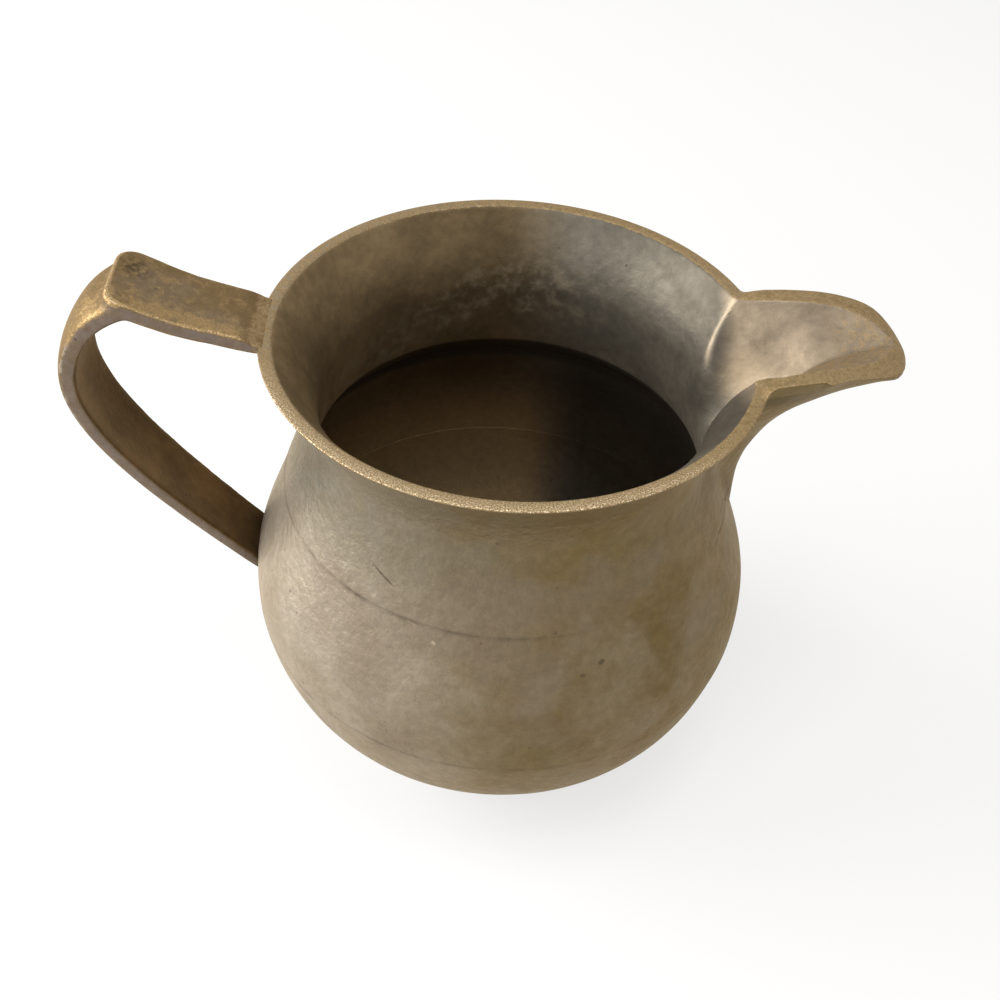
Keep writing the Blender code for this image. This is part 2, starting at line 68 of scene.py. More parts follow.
# Inner face of the neck casting
NECK_INSIDE = [
    (0.0, 52.7), (2.8, 50.6), (5.6, 48.65), (8.4, 47.0), (11.2, 45.6), (14.0, 44.65), (16.8, 43.97),
    (20.5, 43.8), (25.0, 44.0), (30.0, 44.5), (35.5, 45.4),
]
NECK_LIP_DEPTH = 35.5
SHOULDER_SEAM = 40.4
GIRTH_SEAM = 76.0
SEAM_GAP = 0.02
# Radii of the neck's flat underside at its inner end and where it turns up to the outer face
NECK_ROOT = 49.3
NECK_TUCK = 51.0
FLOOR_THICKNESS = 3.6
FLOOR_BORE = 1.2
TURN_STEPS = 256
ROW_SPACING = 0.75
CORNER_CUT = 0.04

# Edges of the spout's lip, from the tip back to the rim: out, across and up from the rim's centre. The
# inner edge was filed a little differently on the two sides; near is the -Y side.
LIP_TIP = [
    (83.2, 0.0, 1.3), (82.75, 1.6, 1.7), (81.45, 3.4, 2.1), (79.9, 5.5, 2.5), (78.3, 7.2, 2.7),
    (76.6, 8.6, 2.9), (74.5, 9.9, 3.0), (72.3, 10.8, 3.1), (68.9, 11.6, 3.1), (64.3, 12.5, 2.9),
]
LIP_FAR_EDGE = LIP_TIP + [
    (60.0, 13.2, 2.45), (56.0, 13.9, 1.85), (53.3, 14.6, 1.25), (51.2, 15.6, 0.55), (50.15, 16.45, 0.12),
    (49.6, 17.8, 0.0), (49.25, 18.75, 0.0),
]
LIP_NEAR_EDGE = LIP_TIP + [
    (60.8, 13.35, 2.6), (58.0, 13.75, 2.2), (55.2, 13.8, 1.6), (52.6, 13.3, 0.9), (51.3, 13.1, 0.35),
    (50.75, 14.2, 0.08), (50.2, 16.0, 0.0), (49.25, 18.75, 0.0),
]
LIP_OUTER_EDGE = [
    (85.7, 0.0, -0.4), (85.4, 2.6, -0.2), (84.85, 4.9, 0.2), (84.0, 7.4, 0.75), (83.0, 9.5, 1.25),
    (82.0, 11.1, 1.7), (80.9, 12.3, 2.1), (79.6, 13.3, 2.4), (78.0, 14.1, 2.7), (76.0, 14.8, 2.95),
    (73.4, 15.5, 3.2), (70.0, 16.2, 3.3), (64.0, 17.0, 3.1), (60.0, 17.45, 2.75), (56.1, 17.75, 2.25),
    (54.2, 17.9, 1.8), (53.0, 18.3, 1.15), (52.5, 19.05, 0.4), (52.25, 20.0, 0.08), (51.9, 21.0, 0.0),
]
# Where the trough breaks out of the neck's inner wall: degrees from the spout's middle, and depth
CREASE_FOOT = [(0.0, 27.8), (2.0, 27.0), (4.0, 24.6), (6.0, 21.4), (7.8, 18.0), (9.2, 15.3)]
FAR_CREASE = CREASE_FOOT + [
    (10.8, 13.2), (12.5, 11.2), (14.2, 9.0), (15.8, 6.3), (16.9, 3.5), (17.8, 1.3), (18.4, 0.3), (21.0, 0.0),
]
NEAR_CREASE = CREASE_FOOT + [
    (10.6, 12.8), (12.0, 10.0), (13.2, 7.0), (14.0, 3.8), (14.4, 1.3), (14.9, 0.3), (16.0, 0.0), (21.0, 0.0),
]
# Rise of the trough from that crease to the lip, as shares of the way and of the height
TROUGH_RISE = [(0.0, 0.0), (0.15, 0.185), (0.3, 0.385), (0.45, 0.585), (0.61, 0.79), (0.74, 0.885),
               (0.89, 0.962), (1.0, 1.0)]
# Outside of the spout, as upright or leaning sections: out and up of the upper edges, out and up of the
# lowest point, half width, and how full the sides are
SPOUT_SECTIONS = [
    (44.2, -50.1, 54.5, -50.1, 15.0, 2.2), (44.2, -40.0, 54.4, -43.2, 12.3, 2.2),
    (44.2, -30.8, 54.4, -39.1, 9.1, 2.2), (44.5, -22.1, 54.5, -35.0, 10.2, 1.8),
    (45.1, -12.0, 55.0, -30.8, 13.5, 1.55), (46.0, -4.1, 55.7, -27.6, 18.3, 1.5),
    (58.1, 2.5, 58.1, -20.9, 18.1, 1.6), (61.9, 2.9, 61.9, -15.5, 17.3, 1.9),
    (66.1, 3.2, 66.1, -10.8, 16.6, 2.4), (70.0, 3.2, 70.0, -7.4, 15.9, 2.8),
    (74.1, 2.9, 74.1, -5.3, 15.1, 2.9), (79.8, 2.4, 79.8, -3.2, 14.0, 2.8),
    (88.7, -0.4, 88.7, -1.4, 12.3, 2.6),
]
SPOUT_NOSE = 0.12
# Degrees from the spout's middle within which the neck's two faces follow the spout
ZONE_INNER = 20.85
ZONE_OUTER = 22.03
# Places in plan where the rim's corners beside the spout were filed over
FILED_CORNERS = ((51.2, -13.4), (50.0, 16.6), (52.9, -18.6), (52.9, 18.6))

# Runs of the neck's section, from its underside through the inner face, the lip and the outer face back to
# the underside: rows in the run, and how far its first and last rows lie from the corners at its ends
OPEN_END = np.array([])
ROUND_END = np.array([0.22, 0.45, 0.72, 1.05])
CRISP_END = np.array([0.06, 0.2, 0.5, 1.0])
RUNS = ((7, OPEN_END, ROUND_END), (54, ROUND_END, ROUND_END), (11, ROUND_END, ROUND_END),
        (64, ROUND_END, CRISP_END), (7, CRISP_END, OPEN_END))
ROW_KINDS = np.repeat(["under", "inside", "lip", "outside", "bottom"], [9, 54, 13, 64, 8])
ANGLE_STEPS = 240
LINE_POINTS = 500
SHORT_LINE_POINTS = 60

# Middle line of the handle's arm as out and up, and the two curves of its strap
ARM_LINE = [(-86.3, 10.1), (-83.0, 9.0), (-80.0, 7.7), (-76.0, 5.9), (-72.0, 4.3), (-68.0, 3.05),
            (-64.0, 2.05), (-60.5, 1.1), (-58.0, 0.55), (-56.0, 0.15), (-55.0, 0.02), (-53.4, -0.1)]
ARM_START = -53.6
STRAP_UPPER = [(-80.7, 8.5), (-90.7, 5.9), (-96.2, -4.1), (-96.2, -12.6)]
STRAP_LOWER = [(-96.2, -12.6), (-96.2, -27.9), (-78.0, -47.8), (-60.6, -66.4)]
STRAP_END = (-57.6, -69.3)
STRAP_TOP_WIDTH = 20.4
STRAP_FOOT_WIDTH = 15.8

# Old damage: place in millimetres from the base, direction, size, softness of the edge, and strength (dark
# above 0, bright below). The sheen is no damage but a painted highlight on the brightest part of the
# spout's inside.
BODY_FLAWS = (
    ((-26.5, -42.1, 86.8), (5.1, -4.3, -2.8), (3.9, 0.75, 0.32), 0.45, 0.62),
    ((-15.6, -51.3, 76.2), (1.0, 0.0, -0.6), (0.75, 0.55, 0.55), 0.45, -0.42),
    ((20.8, -51.3, 71.7), (1.0, 0.2, 0.5), (1.1, 0.9, 0.75), 0.45, 0.55),
    ((16.8, -53.6, 69.6), (1.0, 0.2, 0.0), (0.8, 0.8, 0.55), 0.45, 0.45),
    ((-20.2, -47.9, 79.2), (4.0, -2.0, -1.2), (2.6, 0.9, 0.4), 0.45, -0.28),
)
SPOUT_SHEEN = ((52.6, 3.4, 106.4), (1.0, 0.0, 0.0), (10.0, 8.5, 9.0), 1.0, -0.5)
MARKS = ("worn", "grime", "inside", "crest")

# Soft lamps: name, the setting with its power, place, size and tint
LAMPS = (
    ("key lamp", "key", (-0.86, 0.10, 0.43), (0.7, 0.6), (1.0, 0.98, 0.95)),
    ("fill lamp", "fill", (-0.45, -0.5, 0.6), (0.4, 0.4), (1.0, 1.0, 1.0)),
    ("overhead lamp", "overhead", (0.04, -0.13, 0.78), (0.3, 0.3), (1.0, 1.0, 1.0)),
)
LAMP_TARGET = (0.0, 0.0, 0.07)
FLOOR_SIZE = 4.0
# Where the photographer stood, and the camera's right, up and back directions
CAMERA_PLACE = (-0.01243973, -0.22944961, 0.28860994)
CAMERA_AXES = ((0.99870825, -0.00135739, 0.05079358), (-0.0358001, 0.69058977, 0.72236011),
               (-0.03605805, -0.72324542, 0.6896491))


# ---------------------------------------------------------------- curves


def through(table, places):
    """Smooth curve through rows of (place, value), read at several places."""
    x = np.array([row[0] for row in table], float)
    y = np.array([row[1] for row in table], float)
    slope = np.gradient(y, x)
    places = np.clip(np.asarray(places, float), x[0], x[-1])
    i = np.clip(np.searchsorted(x, places) - 1, 0, len(x) - 2)
    span = x[i + 1] - x[i]
    t = (places - x[i]) / span
    rise = (2 * t**3 - 3 * t**2 + 1) * y[i] + (3 * t**2 - 2 * t**3) * y[i + 1]
    return rise + span * ((t**3 - 2 * t**2 + t) * slope[i] + (t**3 - t**2) * slope[i + 1])


def at(table, place):
    """The same curve read at one place."""
    return float(through(table, [place])[0])


def face(table, depth, inset=0.0):
    """A wall's face as points of (radius, up) at some depths, or a face that far inside it."""
    return np.stack([through(table, depth) - inset, -depth], axis=1)


def lengths(points):
    """How far along a line of points each one lies."""
    steps = np.linalg.norm(np.diff(points, axis=0), axis=1)
    return np.concatenate([[0.0], np.cumsum(steps)])


def placed(points, places):
    """Points at given distances along a line."""
    far = lengths(points)
    return np.stack([np.interp(places, far, points[:, k]) for k in range(points.shape[1])], axis=1)


def spread(points, count):
    """The same line with a number of evenly spaced points."""
    return placed(points, np.linspace(0.0, 1.0, count) * lengths(points)[-1])


def softened(points, reach, step=0.1):
    """A line with its corners rounded over about that reach, and its ends kept."""
    line = spread(points, max(8, int(lengths(points)[-1] / step)))
    half = int(3.0 * reach / step)
    weights = np.exp(-0.5 * (np.arange(-half, half + 1) * step / reach) ** 2)
    weights /= weights.sum()
    before = 2 * line[0] - line[half:0:-1]
    after = 2 * line[-1] - line[-2:-half - 2:-1]
    padded = np.vstack([before, line, after])
    return np.stack([np.convolve(padded[:, k], weights, "valid") for k in range(line.shape[1])], axis=1)


def ease(value):
    """0 below 0, 1 above 1 and smooth between."""
    value = np.clip(value, 0.0, 1.0)
    return value * value * (3.0 - 2.0 * value)


def in_space(line, angle):
    """Points in space from points of (radius, up) and angles in degrees."""
    a = np.radians(angle)
    radius, up = line[..., 0], line[..., 1]
    return np.stack([radius * np.cos(a), radius * np.sin(a), up], axis=-1)


def polar(points):
    """Angles in degrees and radii of points, seen from above."""
    x, y = points[..., 0], points[..., 1]
    return np.degrees(np.arctan2(y, x)), np.hypot(x, y)


def bezier(points, count):
    """Points of one cubic Bezier stretch."""
    p = np.array(points, float)
    t = np.linspace(0.0, 1.0, count)[:, None]
    left = 1.0 - t
    return left**3 * p[0] + 3 * left**2 * t * p[1] + 3 * left * t**2 * p[2] + t**3 * p[3]


# ---------------------------------------------------------------- the neck's columns


def lip_at(edge, angle):
    """Radius and height of a lip edge at one angle from the spout's middle."""
    points = np.array(edge)
    turn, radius = polar(points)
    return (at(list(zip(turn, values)), angle) for values in (radius, points[:, 2]))


def inside_line(angle, edge, creases):
    """Inner face of the neck at one angle, from the lower lip up to the rim or out along the trough."""
    if angle >= ZONE_INNER:
        return face(NECK_INSIDE, np.linspace(NECK_LIP_DEPTH, 0.0, 90))
    wall = face(NECK_INSIDE, np.linspace(NECK_LIP_DEPTH, at(creases, angle), 60))
    lip_radius, lip_up = lip_at(edge, angle)
    share = np.linspace(0.0, 1.0, 80)[1:]
    straight = ease(angle / 19.0)
    rise = (1.0 - straight) * through(TROUGH_RISE, share) + straight * share**0.92
    out, up = wall[-1]
    return np.vstack([wall, np.stack([out + (lip_radius - out) * share, up + (lip_up - up) * rise], axis=1)])


def section_lines():
    """The spout's sections as dense rows of points: their angles, radii and heights."""
    known = np.array(SPOUT_SECTIONS)
    padded = np.vstack([2 * known[0] - known[1], known, 2 * known[-1] - known[-2]])
    rows = []
    for a, b, c, d in zip(padded, padded[1:], padded[2:], padded[3:]):
        for t in np.arange(16) / 16:
            rows.append(b + 0.5 * t * (c - a + t * (2 * a - 5 * b + 4 * c - d + t * (3 * (b - c) + d - a))))
    rows.append(known[-1])
    across = np.linspace(0.0, 1.0, 160)
    found = []
    for edge_out, edge_up, low_out, low_up, half, full in rows:
        least = SPOUT_NOSE**full
        most = (1.0 + SPOUT_NOSE * SPOUT_NOSE) ** (full / 2)
        rise = ((across**2 + SPOUT_NOSE**2) ** (full / 2) - least) / (most - least)
        out = low_out + (edge_out - low_out) * rise
        found.append((*polar(np.stack([out, half * across], axis=1)), low_up + (edge_up - low_up) * rise))
    return found


def outside_line(angle, sections, fillet):
    """Outer face at one angle, from the lip or the rim down to the shoulder seam, or under it at the spout."""
    bottom = SHOULDER_SEAM - SEAM_GAP
    if angle >= ZONE_OUTER:
        return face(BODY_OUTLINE, np.linspace(0.0, bottom, 110))
    lip_radius, lip_up = lip_at(LIP_OUTER_EDGE, angle)
    line = [(lip_radius, lip_up)]
    for angles, radii, ups in reversed(sections):
        if angles[0] <= angle <= angles[-1]:
            radius, up = np.interp(angle, angles, radii), np.interp(angle, angles, ups)
            if radius < lip_radius - 0.5 and up < lip_up - 0.6:
                line.append((radius, up))
    points = spread(np.array(line), 400)
    bottom += 5.7 * float(ease((9.2 - angle) / 1.6))
    points = points[-points[:, 1] <= bottom]
    below = np.linspace(-points[-1, 1], bottom, 60)[1:]
    points = np.vstack([points, np.stack([np.full(len(below), points[-1, 0]), -below], axis=1)])
    depth = np.maximum(-points[:, 1], 0.0)
    wall = through(BODY_OUTLINE, depth) - 0.35 * ease((depth - SHOULDER_SEAM + 0.35) / 0.2)
    over = points[:, 0] - wall
    wide = 1.0 + 1.2 * ease((depth - 7.0) / 8.0) * (1.0 - ease((depth - 27.0) / 8.0))
    near = fillet * wide * ease(depth / 3.0) * (1.0 - ease((depth - 31.0) / 8.0))
    points[:, 0] = np.where(depth > 0.0, wall + 0.5 * (over + np.sqrt(over**2 + near**2)), points[:, 0])
    return points


def even_angles(ends, angles, count):
    """Angles that cut an edge, known as (radius, up) at other angles, into even lengths."""
    far = lengths(in_space(ends, angles))
    return np.interp(np.linspace(0, 1, count + 1) * far[-1], far, angles)


def between(lines, angles, at_angle):
    """A line made of each row of some lines, read at an angle of its own."""
    place = np.interp(at_angle, angles, np.arange(len(angles)))
    low = np.clip(place.astype(int), 0, len(angles) - 2)
    t = (place - low)[:, None]
    rows = np.arange(lines.shape[1])
    return lines[low, rows] * (1.0 - t) + lines[low + 1, rows] * t


def run_places(start, end, count, first, final):
    """Distances of the rows of one run of a section, closer together near its corners."""
    size = end - start
    scale = min(1.0, size / 3.4)
    first, final = first * scale, size - final[::-1] * scale
    low = first[-1] if len(first) else 0.0
    high = final[0] if len(final) else size
    middle = np.linspace(low, high, count - len(first) - len(final) + 2)[1:-1]
    return start + np.concatenate([first, middle, final])


def neck_column(inside, outside, root, tuck, edge_round):
    """One column of the neck's skin, from its inner and outer faces and the two ends of its underside."""
    last = outside[-1] + (tuck - outside[-1]) * 0.02
    under = spread(np.vstack([root, inside[0]]), SHORT_LINE_POINTS)
    lip = spread(np.vstack([inside[-1], outside[0]]), SHORT_LINE_POINTS)
    bottom = spread(np.vstack([last, tuck, root + (tuck - root) * 0.04]), SHORT_LINE_POINTS)
    parts = [under, inside, lip, outside, bottom]
    ends = np.cumsum([lengths(p)[-1] for p in parts])
    places = [0.0]
    for start, end, run in zip([0.0, *ends], ends, RUNS):
        places += [*run_places(start, end, *run), end]
    whole = np.vstack([under] + [p[1:] for p in parts[1:]])
    line = softened(whole, edge_round * 0.5)
    along = np.linspace(0.0, lengths(whole)[-1], len(line))
    crisp = ease((along - ends[3] + 4.0) / 2.0)[:, None]
    line = line * (1.0 - crisp) + softened(whole, 0.07) * crisp
    return np.stack([np.interp(places[:-1], along, line[:, k]) for k in range(3)], axis=1)


def neck_columns(sizes, edge, creases):
    """Columns of points of half the neck's skin, from the spout's middle round to the handle's."""
    half, zone = sizes.columns // 2, sizes.spout_columns
    sections, fillet = section_lines(), sizes.foot_fillet / MM
    inner_angles = np.linspace(0.0, ZONE_INNER, ANGLE_STEPS)
    outer_angles = np.linspace(0.0, ZONE_OUTER, ANGLE_STEPS)
    inner = np.stack([spread(softened(inside_line(a, edge, creases), 0.32), LINE_POINTS) for a in inner_angles])
    outer = np.stack([spread(outside_line(a, sections, fillet), LINE_POINTS) for a in outer_angles])
    even_in = even_angles(inner[:, -1], inner_angles, zone)
    even_out = even_angles(outer[:, 0], outer_angles, zone)
    share = np.linspace(0.0, 1.0, LINE_POINTS)
    bottom = -SHOULDER_SEAM + SEAM_GAP
    columns = []
    for i in range(half + 1):
        if i <= zone:
            level_in, level_out = ZONE_INNER * (i / zone), ZONE_OUTER * (i / zone)
            turn_in = level_in + (even_in[i] - level_in) * ease(share * 1.2)
            turn_out = even_out[i] + (level_out - even_out[i]) * ease(share * 1.2 - 0.2)
            face_in = between(inner, inner_angles, turn_in)
            face_out = between(outer, outer_angles, turn_out)
        else:
            t = (i - zone) / (half - zone)
            turn_in, turn_out = (np.full(LINE_POINTS, end + (180.0 - end) * t) for end in (ZONE_INNER, ZONE_OUTER))
            face_in, face_out = inner[-1], outer[-1]
        root = in_space(np.array([NECK_ROOT, bottom]), 0.5 * (turn_in[0] + turn_out[-1]))
        tuck = in_space(np.array([NECK_TUCK, bottom]), turn_out[-1])
        inside, outside = in_space(face_in, turn_in), in_space(face_out, turn_out)
        columns.append(neck_column(inside, outside, root, tuck, sizes.edge_round / MM))
    return np.array(columns)


def rows_of(*kinds):
    """The rows of the neck's section that are of some kinds, which lie together."""
    found = np.where(np.isin(ROW_KINDS, kinds))[0]
    return slice(found[0], found[-1] + 1)


def relaxed(grid, share):
    """Points moved towards the mean of their four neighbours by a share, with the outermost rows held."""
    mean = 0.25 * (np.roll(grid, 1, 0) + np.roll(grid, -1, 0))
    mean[:, 1:-1] += 0.25 * (grid[:, 2:] + grid[:, :-2])
    step = (mean - grid) * share[..., None]
    step[:, 0] = step[:, -1] = 0.0
    return grid + step


def soften_throat(columns):
    """Round over the crease where the trough leaves the neck, more so the deeper it lies."""
    rows = rows_of("inside")
    grid = columns[:, rows]
    angle, out = polar(grid)
    depth = -grid[..., 2]
    zone = ease((24.0 - abs(angle)) / 4.0) * ease((34.0 - depth) / 4.0)
    zone *= ease((58.0 + 6.0 * ease(depth / 8.0) - out) / 5.0)
    far_side = ease((grid[..., 1] + 4.0) / 8.0)
    for turn in range(60):
        late = far_side * ease((depth - 8.0 - 0.22 * turn) / 5.0)
        late += (1.0 - far_side) * ease((depth - 3.0 - 0.10 * turn) / 4.0)
        grid = relaxed(grid, 0.8 * (zone * late if turn else zone * 0.5))
    columns[:, rows] = grid


def soften_foot(columns):
    """Blend the spout's foot into the neck's outside, round the neck."""
    rows = rows_of("outside")
    grid = columns[:, rows]
    angle, depth = abs(polar(grid)[0]), -grid[..., 2]
    zone = ease((depth - 8.0) / 8.0) * ease((39.4 - depth) / 3.0) * ease((27.0 - angle) / 4.0)
    zone *= ease((angle - 4.5) / 4.5)
    for _ in range(70):
        mean = 0.5 * (np.roll(grid, 1, 0) + np.roll(grid, -1, 0))
        grid = grid + (mean - grid) * (0.8 * zone)[..., None]
    columns[:, rows] = grid


def file_corners(columns):
    """File over the corners where the rim turns out along the spout."""
    rows = rows_of("inside", "lip", "outside")
    for x, y in FILED_CORNERS:
        for _ in range(8):
            grid = columns[:, rows]
            gap = np.linalg.norm(grid - (x, y, 0.0), axis=-1)
            columns[:, rows] = relaxed(grid, 0.7 * ease((2.1 - gap) / 1.2))


def knock_lip(columns):
    """Leave the burr on the near lip, where its outer edge has been knocked over."""
    out, across = columns[..., 0], columns[..., 1]
    burr = ease((out - 64.3) / 1.0) * (1.0 - ease((out - 65.6) / 5.5)) * ease((-across - 14.0) / 3.0)
    columns[..., 1] -= 0.95 * burr * np.isin(ROW_KINDS, ("lip", "outside"))


# ---------------------------------------------------------------- making meshes


def turned(profile, steps=TURN_STEPS):
    """A closed profile of (radius, up) in millimetres, spun about the pitcher's axis."""
    bm = bmesh.new()
    bm.verts.layers.int.new("row")
    for key in MARKS:
        bm.verts.layers.float.new(key)
    row = bm.verts.layers.int["row"]
    verts = [bm.verts.new((r * MM, 0.0, u * MM + HEIGHT)) for r, u in profile]
    for i, v in enumerate(verts):
        v[row] = i
    edges = [bm.edges.new((a, b)) for a, b in zip(verts, verts[1:] + verts[:1])]
    bmesh.ops.spin(bm, geom=verts + edges, cent=(0, 0, 0), axis=(0, 0, 1), angle=math.tau,
                   steps=steps, use_merge=True)
    return bm


def walled(runs):
    """A closed profile from runs of points that meet at corners, with each corner cut off a little."""
    profile = []
    for line in runs:
        line = np.array(line, float)
        size = lengths(line)[-1]
        even = np.linspace(8 * CORNER_CUT, size - 8 * CORNER_CUT, max(2, round(size / ROW_SPACING)))
        ends = np.array([CORNER_CUT, 4 * CORNER_CUT])
        profile += [tuple(p) for p in placed(line, np.concatenate([ends, even, size - ends[::-1]]))]
    return profile


def new_piece(name, bm, nodes, metal):
    """Turn a bmesh in metres into a visible piece that stands for CAD nodes, and give its mesh."""
    bmesh.ops.recalc_face_normals(bm, faces=bm.faces)
    mesh = bpy.data.meshes.new(name)
    bm.to_mesh(mesh)
    bm.free()
    mesh.shade_smooth()
    mesh.materials.append(metal)
    piece = bpy.data.objects.new(name, mesh)
    bpy.context.scene.collection.objects.link(piece)
    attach(piece, "root")
    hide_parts(*nodes)
    return mesh


def mark(mesh, name, values):
    """Store a number for each vertex."""
    layer = mesh.attributes.get(name) or mesh.attributes.new(name, "FLOAT", "POINT")
    layer.data.foreach_set("value", np.asarray(values, np.float32))


def vectors_of(mesh, what):
    """The place or the normal of each vertex, as the mesh holds them."""
    found = np.zeros(len(mesh.vertices) * 3)
    mesh.vertices.foreach_get(what, found)
    return found.reshape(-1, 3)


def places_of(mesh):
    """Vertex positions in millimetres from the middle of the rim plane."""
    return vectors_of(mesh, "co") / MM - (0.0, 0.0, BASE_DEPTH)


def lumps(points, size, seed):
    """Soft noise from -1 to 1 at points in millimetres, with lumps of about that size."""
    shift = Vector((seed * 7.31, seed * 3.17, seed * 5.53))
    return np.array([noise.noise(Vector(p) / size + shift) for p in points]) * 1.6


def seam_dirt(mesh, near):
    """Dirt where a seam is near: heavy on the handle's side, none towards the spout, and broken up."""
    darkening = np.zeros(len(near))
    for i in np.where(near > 0.0)[0]:
        place = mesh.vertices[i].co
        turn = abs(math.degrees(math.atan2(place.y, place.x)))
        side = float(ease((turn - 45.0) / 75.0))
        broken = 0.7 + 0.7 * noise.noise(place * 160.0) + 0.4 * noise.noise(place * 500.0)
        darkening[i] = min(near[i], 1.0) * side * max(0.0, min(1.0, broken))
    return darkening


def mark_neck(mesh):
    """Mark the neck's inside and the wear on its edges, with painted highlights on the front; its seam dirt
    and painted shade under its lips and beside the spout; and a painted highlight on the ridge where the
    trough begins.
    """
    points = places_of(mesh)
    x, y, depth = points[:, 0], points[:, 1], -points[:, 2]
    turn, radius = polar(points)
    row = np.zeros(len(points), np.int32)
    mesh.attributes["row"].data.foreach_get("value", row)
    kind, lip = ROW_KINDS[row], rows_of("lip")
    inner = np.isin(kind, ("inside", "under"))
    kinds = [kind == "lip", inner, kind == "outside"]
    # Painted highlight: towards the front, on the -Y side, the lip and the rim's outer edge are marked well beyond
    # their wear, so that they shine.
    front = ease((72.0 - abs(turn + 103.0)) / 34.0)
    crease = through(FAR_CREASE, abs(turn))
    by_trough = inner & (turn > 6.0) & (turn < 18.5) & (depth > -3.0) & (depth < 14.0)

    lip_wear_and_sheen = 0.72 + front * (0.5 + 0.75 * ease((row - lip.start - 4.0) / 4.0))
    trough_worn = np.maximum(0.42 * ease((x - 64.0) / 14.0), 0.5 * ease((x - 58.0) / 8.0) * (y < 0.0))
    inner_worn = np.maximum(0.5 * (1.0 - (lip.start - row) / 2.4), trough_worn)
    outer_wear_and_sheen = (0.5 + 1.1 * front) * np.maximum(0.0, 1.0 - (row - lip.stop + 1) / 4.0)

    # Painted shade inside: under the neck's lower lip, on the near side just under the rim, and in the trough beside
    # the far ridge.
    lower_lip = np.where(kind == "under", 0.8, 0.5 * ease((depth - 34.3) / 1.2))
    beside = ease((18.0 - depth) / 8.0) * ease((-13.0 - turn) / 2.0) * ease((turn + 50.0) / 16.0)
    beyond = radius - through(NECK_INSIDE, np.maximum(crease, 0.0))
    shaded = ease((beyond - 0.5) / 1.6) * ease((13.0 - beyond) / 9.0) * ease((turn - 6.0) / 6.0) * by_trough
    # Painted shade outside: in the fillet at the spout's foot and under the near lip. The seam's darkening is dirt.
    stand = radius - through(BODY_OUTLINE, np.maximum(depth, 0.0))
    foot = np.exp(-((stand - 0.7) / 0.7) ** 2) * (abs(turn) < 30.0) * (depth > 4.0)
    under_lip = ease((depth - 0.4) / 1.2) * ease((9.0 - depth) / 6.0) * ease((67.0 - x) / 12.0)
    under_lip *= (turn > -30.0) & (turn < 0.0) & (x > 49.0)
    seam = seam_dirt(mesh, (1.0 - abs(depth - SHOULDER_SEAM) / 0.6) * kinds[2])
    inner_shade = np.maximum.reduce([lower_lip, 0.5 * beside, 0.5 * shaded])
    outer_dirt_and_shade = np.maximum.reduce([0.75 * seam, 0.16 * foot, 0.4 * under_lip])

    mark(mesh, "inside", inner)
    mark(mesh, "worn", np.select(kinds, [lip_wear_and_sheen, inner_worn, outer_wear_and_sheen]))
    mark(mesh, "grime", np.select(kinds, [np.zeros(len(row)), inner_shade, outer_dirt_and_shade]))
    # Painted highlight: a bright band along the far ridge where the trough leaves the neck.
    mark(mesh, "crest", ease(1.0 - abs(crease - depth) / 2.0) * ease((16.0 - depth) / 7.0) * by_trough)


def finish_wall(mesh, dents, seed):
    """Dent a body wall a little, always inwards, and mark its inside and the dirt on its seams."""
    points = places_of(mesh)
    depth = -points[:, 2]
    inside = polar(points)[1] < through(BODY_OUTLINE, depth) - 1.0
    from_neck, from_girth = abs(depth - SHOULDER_SEAM), abs(depth - GIRTH_SEAM)
    calm = ease((np.minimum(from_neck, from_girth) - 0.3) / 4.0) * ease((BASE_DEPTH - depth) / 4.0)
    push = 0.09 * (lumps(points, 26.0, seed) - 1.0) + 0.04 * (lumps(points, 9.0, seed + 1) - 1.0)
    points += vectors_of(mesh, "normal") * (dents * push * calm)[:, None]
    mesh.vertices.foreach_set("co", ((points + (0.0, 0.0, BASE_DEPTH)) * MM).ravel())
    mesh.update()
    near = 1.0 - np.minimum(from_neck / 0.6, from_girth / 0.8 + 0.35)
    # Painted shade inside the body: dark under the neck, fading out towards the girth.
    shade = np.maximum(0.6 * ease((78.0 - depth) / 34.0), 0.96 * ease((50.0 - depth) / 8.0))
    mark(mesh, "inside", inside)
    mark(mesh, "grime", np.where(inside, shade, 0.75 * seam_dirt(mesh, near)))


# ---------------------------------------------------------------- finishes


def feed(tree, socket, value):
    """Link a socket to another one, or set it to a value."""
    if isinstance(value, bpy.types.NodeSocket):
        tree.links.new(value, socket)
    else:
        socket.default_value = value


def wired(tree, kind, inputs, **settings):
    """A new shader node with its settings made and its inputs fed."""
    node = tree.nodes.new("ShaderNode" + kind)
    for key, value in settings.items():
        setattr(node, key, value)
    for key, value in inputs.items():
        feed(tree, node.inputs[key], value)
    return node


